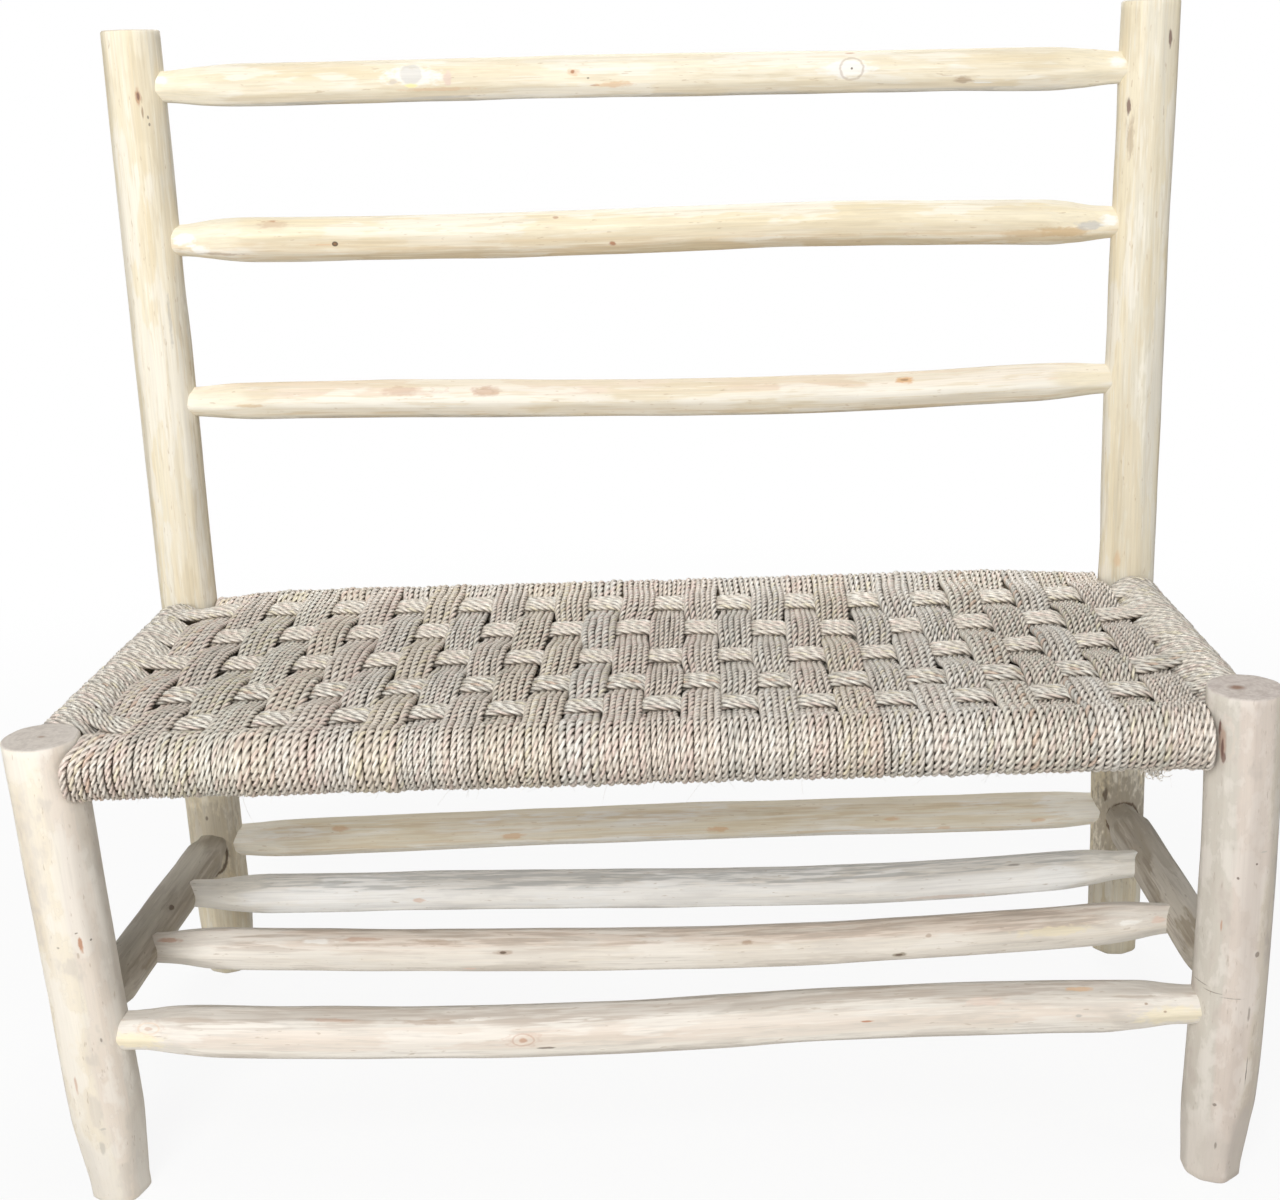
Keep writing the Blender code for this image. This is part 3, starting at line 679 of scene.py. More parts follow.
def rope_piece(node, paths, shade_and_wear, rope, thick, cast, finish, draws):
    """One piece of many strands, with the tint and painted shade and the place along the fibre of each point.
    """
    points, height, aside, along = twisted_rope(paths, rope.sideways, thick, draws)
    strands, rings, sides, _ = points.shape
    odds = np.array([share for _, share in ROPE_TINTS])
    colours = np.array([colour for colour, _ in ROPE_TINTS])
    plies = colours[draws.choice(len(colours), (strands, PLIES), p=odds / odds.sum())]
    nearest = np.round(SECTION * PLIES / FULL_TURN).astype(int) % PLIES
    tint_and_shade = np.repeat(plies[:, None, nearest], rings, axis=1)
    # Painted shade in the grooves between plies, in dots where a groove meets the next strand and on each
    # strand's inner side; the shade and wear value adds painted shade above zero and painted light below it
    crest = (REACH - REACH.min()) / (REACH.max() - REACH.min())
    darkest = rope.groove * (1.0 - GROOVE_SHADE_DEPTH * shade_and_wear)[:, None]
    groove = darkest + (1.0 - darkest) * crest
    dots = (1.0 - crest) * smooth((aside - DOT_FACING[0]) / DOT_FACING[1])
    groove = groove * (1.0 - (1.0 - rope.dot) * dots)
    deep = rope.deep + (1.0 - rope.deep) * smooth((rope.outwards * height - DEEP_HEIGHT[0]) / DEEP_HEIGHT[1])
    level = (1.0 + (rope.shade_and_wear - 1.0) * shade_and_wear)[None, :, None, None]
    tint_and_shade[..., :3] *= level * (groove * deep)[..., None] ** np.array(SHADE_WARMTH) * np.array(cast)
    tint_and_shade[..., :3] *= np.minimum(LIGHTEST / tint_and_shade[..., :3].max(axis=-1, keepdims=True), 1.0)
    fibre = np.empty(points.shape)
    fibre[..., 0] = along[..., None] + draws.random((strands, 1, 1)) * FIBRE_SHIFT
    fibre[..., 1] = REACH * np.cos(SECTION)
    fibre[..., 2] = REACH * np.sin(SECTION)
    attributes = {
        "rope_tint_and_shade": ("FLOAT_COLOR", tint_and_shade.reshape(-1, 4)),
        "fibre_place": ("FLOAT_VECTOR", fibre.reshape(-1, 3)),
        "shade_and_wear": ("FLOAT", np.tile(np.repeat(np.clip(shade_and_wear, 0.0, 1.0), sides), strands)),
    }
    faces = [many_tubes(strands, rings, sides, True)]
    add_piece(f"{node}_rope", points.reshape(-1, 3), faces, finish, attributes, (node,))


# Loose fibres: those of the frayed end come after the others
FIBRES, TUFT = 150, 44
FIBRE_RINGS = 11
FIBRE_MARGIN = 0.02  # from the ends of the seat
FIBRE_TURN = (-1.9, 0.9)  # angles round the front roll, up from its front
FIBRE_RISE = 0.0020  # of their feet over the middle of the strands
FIBRE_OUT, FIBRE_STRAY, FIBRE_BEND = (0.3, 1.0), 0.7, 0.5  # shares of the way out and of drawn ways
FIBRE_LENGTH = (0.003, 0.010)
LONGEST_FIBRES = (0.020, 0.016, 0.014)
FIBRE_DROOP = 0.25
FIBRE_RADIUS, TUFT_RADIUS = 0.00014, 0.00075
FIBRE_TAPER = 0.6
TUFT_PLACE, TUFT_TURN = (0.440, 0.006), (-1.10, 0.14)  # mean and spread
TUFT_LENGTH, TUFT_CURL = (0.002, 0.005), (0.0025, 0.0050)
CURL_TURNS = 1.1
TRIANGLE = np.array(((1.0, 0.0, 0.0), (-0.5, 0.5, 0.7), (-0.5, -0.5, -0.7)))  # a fibre's section


def stray_fibres(seat, finish):
    """Loose fibres round the front roll, and a frayed end low on its right.

    Each is a thin tube along base + length (t out + t^2 bend) + curl (cos, sin) of a turn that grows with t.
    """
    count = FIBRES + TUFT
    draws = np.random.default_rng(FIBRE_SEED)
    x = draws.uniform(seat.low_x + FIBRE_MARGIN, seat.high_x - FIBRE_MARGIN, count)
    turn = draws.uniform(*FIBRE_TURN, count)
    x[FIBRES:] = draws.normal(*TUFT_PLACE, TUFT)
    turn[FIBRES:] = draws.normal(*TUFT_TURN, TUFT)
    facing = np.column_stack((np.zeros_like(turn), -np.cos(turn), np.sin(turn)))
    base = seat.front(x) + (WRAP_RADIUS + FIBRE_RISE) * facing
    base[:, 0] = x
    out = facing * draws.uniform(*FIBRE_OUT, (count, 1)) + FIBRE_STRAY * draws.standard_normal((count, 3))
    bend = FIBRE_BEND * draws.standard_normal((count, 3)) - np.array((0.0, 0.0, FIBRE_DROOP))
    length = draws.uniform(*FIBRE_LENGTH, count)
    length[: len(LONGEST_FIBRES)] = LONGEST_FIBRES
    length[FIBRES:] = draws.uniform(*TUFT_LENGTH, TUFT)
    curl = np.zeros(count)
    curl[FIBRES:] = draws.uniform(*TUFT_CURL, TUFT)
    share = np.linspace(0.0, 1.0, FIBRE_RINGS)
    way = share[:, None] * out[:, None, :] + share[:, None] ** 2 * bend[:, None, :]
    path = base[:, None, :] + length[:, None, None] * way
    spin = FULL_TURN * (CURL_TURNS * share[None, :] + draws.random((count, 1)))
    path[..., 0] += curl[:, None] * share * np.cos(spin)
    path[..., 2] += curl[:, None] * share * np.sin(spin)
    radius = np.where(np.arange(count) < FIBRES, FIBRE_RADIUS, TUFT_RADIUS)
    thick = radius[:, None] * (1.0 - FIBRE_TAPER * share)
    points = (path[:, :, None, :] + thick[:, :, None, None] * TRIANGLE).reshape(-1, 3)
    attributes = {
        "rope_tint_and_shade": ("FLOAT_COLOR", np.tile(np.array(FIBRE_TINT), (len(points), 1))),
        "fibre_place": ("FLOAT_VECTOR", points),
        "shade_and_wear": ("FLOAT", np.zeros(len(points))),
    }
    faces = [many_tubes(count, FIBRE_RINGS, len(TRIANGLE), False)]
    add_piece("stray_fibres", points, faces, finish, attributes)


def make_seat(warp_finish, weft_finish):
    """All warp bands and weft rows, and the fibres that stand off them."""
    seat = Seat()
    for band in range(BAND_COUNT):
        from_end = min(band, BAND_COUNT - 1 - band)
        strands = rng.choice(BAND_STRANDS) if from_end else END_STRANDS
        thick = seat.band_pitch / strands / STRAND_PITCH if from_end else END_THICK
        odds = END_CAST_ODDS if from_end < CAST_ENDS else CAST_ODDS
        cast = BAND_CASTS[rng.choice(len(BAND_CASTS), p=odds)]
        paths, shade_and_wear = warp_paths(seat, band, strands, rng)
        rope_piece(f"warp_band_{band + 1:02d}", paths, shade_and_wear, WARP, thick, cast, warp_finish, rng)
    thick = [strand[2] for strand in ROW_STRANDS]
    for row in range(ROW_COUNT):
        paths, shade_and_wear = weft_paths(seat, row, rng)
        rope_piece(f"weft_row_{row + 1}", paths, shade_and_wear, WEFT, thick, ROW_CAST, weft_finish, rng)
    stray_fibres(seat, warp_finish)


# Finishes


class Nodes:
    """A node tree, with short ways to add nodes to it."""

    def __init__(self, tree):
        self.tree = tree

    def feed(self, socket, value):
        """Links a socket to another node's output, or sets it to a plain value."""
        if isinstance(value, bpy.types.NodeSocket):
            self.tree.links.new(value, socket)
        else:
            socket.default_value = value

    def node(self, kind, **inputs):
        made = self.tree.nodes.new(kind)
        for label, value in inputs.items():
            self.feed(made.inputs[label], value)
        return made

    def attribute(self, label, output="Vector"):
        made = self.node("ShaderNodeAttribute")
        made.attribute_name = label
        return made.outputs[output]

    def noise(self, place, offset, kind):
        """Noise of a kind that is stretched along the grain, and moved by offset."""
        along, across, detail, roughness = kind
        mapped = self.node("ShaderNodeMapping", Vector=place, Location=offset, Scale=(along, across, across))
        made = self.node("ShaderNodeTexNoise", Vector=mapped.outputs[0], Scale=1.0, Detail=detail)
        self.feed(made.inputs["Roughness"], roughness)
        return made.outputs["Fac"]

    def ramp(self, value, low, high, start=0.0, end=1.0):
        """Smooth step of a value between low and high, from start to end."""
        made = self.node("ShaderNodeMapRange")
        made.interpolation_type = "SMOOTHSTEP"
        for socket, number in zip(made.inputs[:5], (value, low, high, start, end)):
            self.feed(socket, number)
        return made.outputs["Result"]

    def math(self, operation, first, second=0.0):
        made = self.node("ShaderNodeMath")
        made.operation = operation
        self.feed(made.inputs[0], first)
        self.feed(made.inputs[1], second)
        return made.outputs[0]

    def vector(self, operation, first, second=None):
        made = self.node("ShaderNodeVectorMath")
        made.operation = operation
        self.feed(made.inputs[0], first)
        if operation == "SCALE":
            self.feed(made.inputs["Scale"], second)
        elif second is not None:
            self.feed(made.inputs[1], second)
        return made.outputs["Value" if operation == "LENGTH" else "Vector"]

    def mix(self, factor, under, over):
        made = self.node("ShaderNodeMix")
        made.data_type = "RGBA"
        self.feed(made.inputs[0], factor)
        self.feed(made.inputs[6], under)
        self.feed(made.inputs[7], over)
        return made.outputs[2]

    def sway(self, value, amount):
        """A noise made to swing by half an amount each way."""
        return self.math("MULTIPLY", self.math("SUBTRACT", value, 0.5), amount)

    def distance(self, place, middle, size):
        """Distance from a middle, counted in an ellipsoid's half lengths."""
        return self.vector("LENGTH", self.vector("DIVIDE", self.vector("SUBTRACT", place, middle), size))


class Finish(Nodes):
    """One Principled material."""

    def __init__(self, name, roughness, specular):
        self.material = bpy.data.materials.new(name)
        self.material.use_nodes = True
        super().__init__(self.material.node_tree)
        self.shader = self.tree.nodes["Principled BSDF"]
        self.set("Roughness", roughness)
        self.set("Specular IOR Level", specular)

    def set(self, label, value):
        self.feed(self.shader.inputs[label], value)

    def bump(self, height, strength, depth):
        made = self.node("ShaderNodeBump", Height=height, Strength=strength, Distance=depth)
        self.set("Normal", made.outputs[0])


TINTS = {
    # tones of knots, stains, painted shade and the sides of a pole
    "red": srgb(186, 132, 98),
    "brown": srgb(150, 112, 78),
    "orange": srgb(224, 180, 132),
    "dark": srgb(92, 72, 56),
    "bark": srgb(128, 98, 88),
    "grey": srgb(190, 184, 174),
    "white": srgb(251, 248, 241),
    "pink": srgb(230, 206, 190),
    "blush": srgb(229, 213, 200),
    "sage": srgb(205, 202, 189),
    "cool": srgb(202, 199, 194),
    "butter": srgb(246, 233, 198),
    "tan": srgb(219, 193, 154),
    "umber": srgb(163, 151, 132),
    "slate": srgb(158, 161, 160),
    "yellow": srgb(252, 240, 178),
}
WOOD_NOISES = {
    # scale along and across the grain, detail, roughness
    "broad": (2.6, 60.0, 3.0, 0.55),
    "patch": (6.5, 30.0, 4.0, 0.60),
    "smear": (15.0, 250.0, 3.0, 0.60),
    "fine": (11.0, 520.0, 3.0, 0.55),
    "speck": (70.0, 330.0, 2.0, 0.55),
    "ragged": (110.0, 260.0, 2.0, 0.55),
}
MOTTLED = ("front_left_post", "front_right_post")  # blotched, where the others are streaked
MOTTLED_NOISES = WOOD_NOISES | {"broad": (9.0, 48.0, 3.0, 0.55), "patch": (20.0, 34.0, 4.0, 0.60)}
# Layers of a pole's tones: what each follows, where it starts and is full, its strength and its tone
GRAIN_LAYERS = (("broad", 0.44, 0.68, 1.0, "streak"),)
PLAIN_LAYERS = (
    ("patch", 0.51, 0.56, 0.70, "pale"),
    ("patch", 0.45, 0.39, 0.45, "shade"),
    ("smear", 0.54, 0.64, 0.48, "shade"),
    ("smear", 0.44, 0.34, 0.50, "pale"),
)
MOTTLED_LAYERS = (
    ("patch", 0.47, 0.58, 0.60, "pale"),
    ("patch", 0.44, 0.34, 0.45, "shade"),
    ("patch_edge", 0.010, 0.0, 0.20, "shade"),
    ("smear", 0.56, 0.68, 0.18, "shade"),
)
FACET_LAYERS = (("facet_tone", 0.05, 1.0, 0.65, "shade"), ("facet_tone", -0.15, -1.0, 0.50, "pale"))
FLECK_LAYERS = (("speck", 0.66, 0.74, 0.40, "fleck"),)
FRESH_SHARE = 0.5  # of the fresh tone where a pole is whittled
SIDE_FADE = math.radians(6)
SIDE_SWAY = 1.1  # radians by which the edges of a pole's sides wander
# How noise breaks the tones of sides and streaks: its limits, and the least and greatest share of tone
SIDE_BREAKS, STREAK_BREAKS = (0.3, 0.6, 0.35, 1.0), (0.47, 0.57, 0.0, 1.0)
GRAIN_SHADES, MOTTLED_SHADES = (0.25, 0.75, 0.92, 1.02), (0.25, 0.75, 0.98, 1.02)  # of the fine grain
GRAIN_RELIEF, MOTTLED_RELIEF = 0.5, 0.3  # of the fine grain against the patches
WOOD_GLOSS, ROPE_GLOSS, FLOOR_GLOSS = (0.6, 0.25), (0.32, 0.6), (0.9, 0.1)  # roughness and specular level
WOOD_BUMP, ROPE_BUMP = (0.35, 0.0012), (0.5, 0.0006)  # strength and depth
NOISE_SHIFT = 50.0
RAGGED, CLEAN = 1.3, 0.3  # how far the edge of a mark strays, in half sizes of it
RAGGED_FULL, CLEAN_FULL = 0.45, 0.75  # share of its half sizes inside which a mark is full
RIM_HOLE = (0.85, 0.5)  # where the hole in a rim starts and is full
RING_LINE = (0.16, 0.03)  # half width of a ring's line, where it ends and where it is full
GROWTH_RING = 0.0046  # between the growth rings of a sawn end
END_NOISE = (0.0, 120.0, 5.0, 0.7)
RING_WAVER, STAIN_WAVER = 9.0, 0.6  # how far that noise shifts the rings and the edge of the pith
END_LAYERS = (("rings", -1.0, 1.0, 0.3, "end_ring"), ("rough", 0.44, 0.62, 0.9, "end_ring"))
PITH_EDGE = (1.2, 0.5)  # where its stain ends and is full, in half sizes of it
FIBRE_NOISE, MOTTLE_NOISE = (45.0, 1300.0, 3.0, 0.55), (13.0, 420.0, 2.0, 0.55)
WARP_STAIN, WEFT_STAIN = (0.78, 0.74, 0.70), (0.88, 0.86, 0.80)
MOTTLE_SHIFT = (3.0, 1.0, 0.0)
MOTTLE_STAIN = (0.54, 0.74, 0.0, 0.6)  # limits of the mottling, least and greatest share
FIBRE_SHADES = (0.25, 0.75, 0.78, 1.10)  # and the same of the fibres' light and dark
WORN_ROUGHNESS = (0.30, 0.5)


def add_layers(finish, colour, fields, layers, tones):
    """Mixes tones into a colour, each by a smooth step of a field between two limits."""
    for field, start, full, strength, tone in layers:
        colour = finish.mix(finish.ramp(fields[field], start, full, 0.0, strength), colour, tones[tone])
    return colour


def add_side(finish, colour, turn, broken, side):
    """Tone of a pole's side between two angles, with a wavy edge and broken by a share from noise."""
    first, last, tone, strength = math.radians(side[0]), math.radians(side[1]), side[2], side[3]
    share = finish.ramp(turn, first - SIDE_FADE, first + SIDE_FADE)
    share = finish.math("SUBTRACT", share, finish.ramp(turn, last - SIDE_FADE, last + SIDE_FADE))
    share = finish.math("MULTIPLY", share, finish.math("MULTIPLY", broken, strength))
    return finish.mix(share, colour, TINTS[tone])


def add_mark(
    finish, colour, place, ragged, radius, along, turn, half_long, half_wide, tone, strength, kind="full"
):
    """A knot, a stain or a patch of painted shade: an ellipse with a ragged edge, full or only its rim, or a
    clean disc or ring.
    """
    turn = math.radians(turn)
    middle = (along * MM, radius * math.cos(turn), radius * math.sin(turn))
    reach = finish.distance(place, middle, (half_long * MM, half_wide * MM, half_wide * MM))
    clean = kind in ("disc", "ring")
    reach = finish.math("ADD", reach, finish.sway(ragged, CLEAN if clean else RAGGED))
    if kind == "ring":
        offset = finish.math("ABSOLUTE", finish.math("SUBTRACT", reach, 1.0))
        return finish.mix(finish.ramp(offset, *RING_LINE, 0.0, strength), colour, TINTS[tone])
    inner = finish.ramp(reach, 1.0, CLEAN_FULL if clean else RAGGED_FULL, 0.0, strength)
    if kind == "rim":
        inner = finish.math("SUBTRACT", inner, finish.ramp(reach, *RIM_HOLE, 0.0, strength))
    return finish.mix(inner, colour, TINTS[tone])


def end_grain(finish, place, offset, pith, tones):
    """Sawn end: smudged grey, with faint rings round the pith, by sin(2 pi r / ring) of the distance r."""
    pith_y, pith_z, half_y, half_z, strength = pith
    across = finish.vector("MULTIPLY", place, (0.0, 1.0, 1.0))
    reach = finish.vector("LENGTH", finish.vector("SUBTRACT", across, (0.0, pith_y, pith_z)))
    rough = finish.noise(place, offset, END_NOISE)
    waves = finish.math("MULTIPLY", reach, FULL_TURN / GROWTH_RING)
    rings = finish.math("SINE", finish.math("ADD", waves, finish.math("MULTIPLY", rough, RING_WAVER)))
    colour = add_layers(finish, tones["end"], {"rings": rings, "rough": rough}, END_LAYERS, tones)
    stain = finish.distance(across, (0.0, pith_y, pith_z), (1.0, half_y, half_z))
    stain = finish.math("ADD", stain, finish.math("MULTIPLY", rough, STAIN_WAVER))
    return finish.mix(finish.ramp(stain, *PITH_EDGE, 0.0, strength), colour, tones["pith"])


def wood_finish(pole, radius, seed):
    """Peeled pole: streaks or blotches, sides and facets of unlike tone, fine grain, flecks and knots; some
    sides and marks are painted shade.
    """
    node = pole.node
    tones = {tone: srgb(*colour) for tone, colour in zip(TONES, WOODS[pole.wood])}
    offset = tuple(np.random.default_rng(seed).random(3) * NOISE_SHIFT)
    finish = Finish(f"{node}_finish", *WOOD_GLOSS)
    place = finish.attribute("grain_place")
    mottled = node in MOTTLED
    fields = {"facet_tone": finish.attribute("facet_tone", "Fac")}
    for label, kind in (MOTTLED_NOISES if mottled else WOOD_NOISES).items():
        fields[label] = finish.noise(place, offset, kind)
    if mottled:
        fields["patch_edge"] = finish.math("ABSOLUTE", finish.math("SUBTRACT", fields["patch"], 0.5))
    colour = add_layers(finish, tones["base"], fields, GRAIN_LAYERS, tones)
    parts = finish.node("ShaderNodeSeparateXYZ", Vector=place).outputs
    turn = finish.math("ARCTAN2", parts[2], parts[1])
    turn = finish.math("ADD", turn, finish.sway(fields["broad"], SIDE_SWAY))
    for side in SIDES.get(node, ()):
        colour = add_side(finish, colour, turn, finish.ramp(fields["patch"], *SIDE_BREAKS), side)
    colour = add_layers(finish, colour, fields, MOTTLED_LAYERS if mottled else PLAIN_LAYERS, tones)
    for side in STREAKS.get(node, ()):
        colour = add_side(finish, colour, turn, finish.ramp(fields["smear"], *STREAK_BREAKS), side)
    colour = add_layers(finish, colour, fields, FACET_LAYERS, tones)
    fresh = finish.math("MULTIPLY", finish.attribute("whittled", "Fac"), FRESH_SHARE)
    colour = finish.mix(fresh, colour, tones["fresh"])
    colour = add_layers(finish, colour, fields, FLECK_LAYERS, tones)
    # Marks keep to the skin: the place is moved out or in to the pole's usual radius
    across = finish.vector("NORMALIZE", finish.vector("MULTIPLY", place, (0.0, 1.0, 1.0)))
    along = finish.vector("MULTIPLY", place, (1.0, 0.0, 0.0))
    skin = finish.vector("ADD", finish.vector("SCALE", across, radius), along)
    for mark in MARKS.get(node, ()):
        colour = add_mark(finish, colour, skin, fields["ragged"], radius, *mark)
    fine = fields["fine"]
    shades = finish.ramp(fine, *(MOTTLED_SHADES if mottled else GRAIN_SHADES))
    colour = finish.vector("SCALE", colour, shades)
    if node in PITH:
        end = end_grain(finish, place, offset, PITH[node], tones)
        colour = finish.mix(finish.attribute("sawn", "Fac"), colour, end)
    finish.set("Base Color", colour)
    relief = finish.math("MULTIPLY", fine, MOTTLED_RELIEF if mottled else GRAIN_RELIEF)
    finish.bump(finish.math("ADD", relief, fields["patch"]), *WOOD_BUMP)
    return finish.material


def rope_finish(name, stain):
    """Twisted plant-fibre rope: each ply's own tint, carrying its painted shade and light, streaked along the
    fibres and mottled.
    """
    finish = Finish(name, *ROPE_GLOSS)
    finish.set("Roughness", finish.ramp(finish.attribute("shade_and_wear", "Fac"), 0.0, 1.0, *WORN_ROUGHNESS))
    place = finish.attribute("fibre_place")
    tint_and_shade = finish.attribute("rope_tint_and_shade", "Color")
    fibre = finish.noise(place, (0.0, 0.0, 0.0), FIBRE_NOISE)
    mottle = finish.noise(place, MOTTLE_SHIFT, MOTTLE_NOISE)
    stained = finish.vector("MULTIPLY", tint_and_shade, stain)
    colour = finish.mix(finish.ramp(mottle, *MOTTLE_STAIN), tint_and_shade, stained)
    colour = finish.vector("SCALE", colour, finish.ramp(fibre, *FIBRE_SHADES))
    finish.set("Base Color", colour)
    finish.bump(fibre, *ROPE_BUMP)
    return finish.material


# Woods of the poles: screen colours of these tones, the last three for sawn ends alone
TONES = ("base", "streak", "pale", "shade", "fresh", "fleck", "end", "end_ring", "pith")
WOODS = {
    "cream": (
        (244, 234, 211), (234, 219, 187), (249, 243, 229), (226, 211, 180), (246, 236, 210),
        (190, 162, 124), (222, 212, 194), (206, 194, 174), (150, 118, 92),
    ),
    # painted shade: a dark wood for the seat rails, which show only in the gaps of the weave
    "dim_painted_shade": (
        (150, 134, 112), (130, 114, 94), (164, 150, 130), (116, 102, 86), (164, 150, 130), (104, 90, 74),
    ),
    # painted shade: a darker copy of the grey wood for the side stretchers, which the front posts shade
    "moss_painted_shade": (
        (206, 198, 184), (188, 178, 162), (218, 211, 199), (166, 156, 142), (198, 189, 174),
        (128, 112, 94),
    ),
    "bright": (
        (251, 244, 228), (242, 231, 206), (254, 251, 244), (232, 220, 194), (250, 244, 228),
        (190, 162, 124),
    ),
    "ash": (
        (246, 242, 235), (236, 230, 220), (252, 251, 248), (220, 216, 210), (246, 239, 224),
        (176, 156, 132),
    ),
    "stone": (
        (216, 206, 195), (203, 191, 180), (231, 223, 214), (192, 181, 171), (222, 213, 202),
        (166, 148, 130), (206, 197, 189), (184, 172, 164), (132, 98, 76),
    ),
    "grey": (
        (232, 223, 209), (220, 209, 193), (240, 234, 224), (204, 195, 184), (240, 234, 224),
        (170, 148, 122), (208, 200, 191), (190, 181, 172), (140, 108, 84),
    ),
}
POLES = (
    Pole("front_left_post", Z, FRONT, 9, 0.040, "grey", "wood_grey"),
    Pole("front_right_post", Z, FRONT, 9, 0.040, "stone", "wood_grey"),
    Pole("back_left_post", Z, FRONT, 9, 0.055, "cream", "wood_cream"),
    Pole("back_right_post", Z, FRONT, 8, 0.070, "cream", "wood_cream"),
    Pole("top_back_rail", X, FRONT, 8, 0.075, "cream", "wood_cream"),
    Pole("middle_back_rail", X, FRONT, 8, 0.075, "cream", "wood_cream"),
    Pole("lower_back_rail", X, FRONT, 8, 0.075, "cream", "wood_cream"),
    # the seat rails take the darker wood as painted shade in the weave's gaps
    Pole("front_seat_rail", X, FRONT, 8, 0.050, "dim_painted_shade", "wood_cream"),
    Pole("back_seat_rail", X, FRONT, 8, 0.050, "dim_painted_shade", "wood_cream"),
    Pole("left_seat_rail", Y, RIGHT, 8, 0.050, "dim_painted_shade", "wood_cream"),
    Pole("right_seat_rail", Y, LEFT, 8, 0.050, "dim_painted_shade", "wood_cream"),
    Pole("front_stretcher", X, FRONT, 8, 0.070, "grey", "wood_grey"),
    Pole("back_stretcher", X, FRONT, 8, 0.070, "bright", "wood_grey"),
    # the side stretchers take the darker wood as painted shade from the front posts
    Pole("left_stretcher", Y, RIGHT, 7, 0.080, "moss_painted_shade", "wood_grey"),
    Pole("right_stretcher", Y, LEFT, 7, 0.080, "moss_painted_shade", "wood_grey"),
    Pole("front_shelf_rung", X, FRONT, 8, 0.070, "grey", "wood_grey"),
    Pole("back_shelf_rung", X, FRONT, 8, 0.070, "ash", "wood_grey"),
)
PITH = {
    # place across the grain, half size, strength
    "front_left_post": (0.0, 0.001, 0.004, 0.006, 0.6),
    "front_right_post": (0.001, -0.008, 0.009, 0.011, 0.9),
    "back_left_post": (0.002, -0.002, 0.004, 0.004, 0.6),
    "back_right_post": (-0.002, 0.002, 0.004, 0.004, 0.6),
}
SIDES = {
    # from and to these degrees round the pole, tone, strength
    "front_left_post": ((-50, 12, "butter", 0.30), (15, 62, "blush", 0.50), (60, 125, "cool", 0.45)),
    "front_right_post": (
        (-120, -22, "sage", 0.65), (-22, 26, "blush", 0.50),
        (26, 62, "butter", 0.25), (60, 130, "cool", 0.70),
    ),
    "back_left_post": ((-60, -10, "butter", 0.35), (45, 120, "cool", 0.35)),
    "back_right_post": (
        (-110, -38, "butter", 0.45), (-34, 18, "sage", 0.40),
        (20, 58, "butter", 0.40), (62, 120, "cool", 0.45),
    ),
    "top_back_rail": ((-110, -48, "cool", 0.25), (30, 56, "tan", 0.20), (54, 130, "cool", 0.85)),
    "middle_back_rail": ((-70, -2, "butter", 0.45), (4, 40, "blush", 0.30), (38, 84, "tan", 0.70)),
    "lower_back_rail": ((-110, -20, "pink", 0.60), (-18, 44, "white", 0.65), (48, 125, "cool", 0.65)),
    "front_stretcher": (
        (-120, -38, "cool", 0.55), (-38, 8, "blush", 0.60),
        (12, 56, "white", 0.45), (60, 125, "slate", 0.40),
    ),
    "front_shelf_rung": ((-110, -30, "blush", 0.60), (0, 52, "white", 0.40), (58, 125, "slate", 0.60)),
    "back_shelf_rung": ((-120, -46, "slate", 0.28), (-30, 46, "white", 0.60), (54, 125, "slate", 0.50)),
    "back_stretcher": ((-110, -34, "tan", 0.20), (-24, 40, "white", 0.70), (50, 100, "tan", 0.25)),
    # painted shade: the umber inner sides of the side stretchers and the grey underside of the right one
    "left_stretcher": ((-120, -50, "sage", 0.50), (-42, 110, "umber", 0.80)),
    "right_stretcher": ((-120, -60, "grey", 0.80), (-50, 110, "umber", 0.95)),
}
STREAKS = {
    # thin broken streaks of bark on one side: from and to these degrees, tone, strength
    "front_stretcher": ((-105, -36, "brown", 0.28),),
    "front_shelf_rung": ((-105, -24, "brown", 0.26),),
    "back_shelf_rung": ((-120, -34, "slate", 0.42), (30, 60, "cool", 0.40)),
    "back_stretcher": ((-60, 60, "tan", 0.38),),
    "middle_back_rail": ((10, 60, "tan", 0.45),),
    "lower_back_rail": ((30, 70, "tan", 0.40),),
    "left_stretcher": ((-60, 60, "dark", 0.14),),
    "right_stretcher": ((-60, 60, "dark", 0.22),),
}
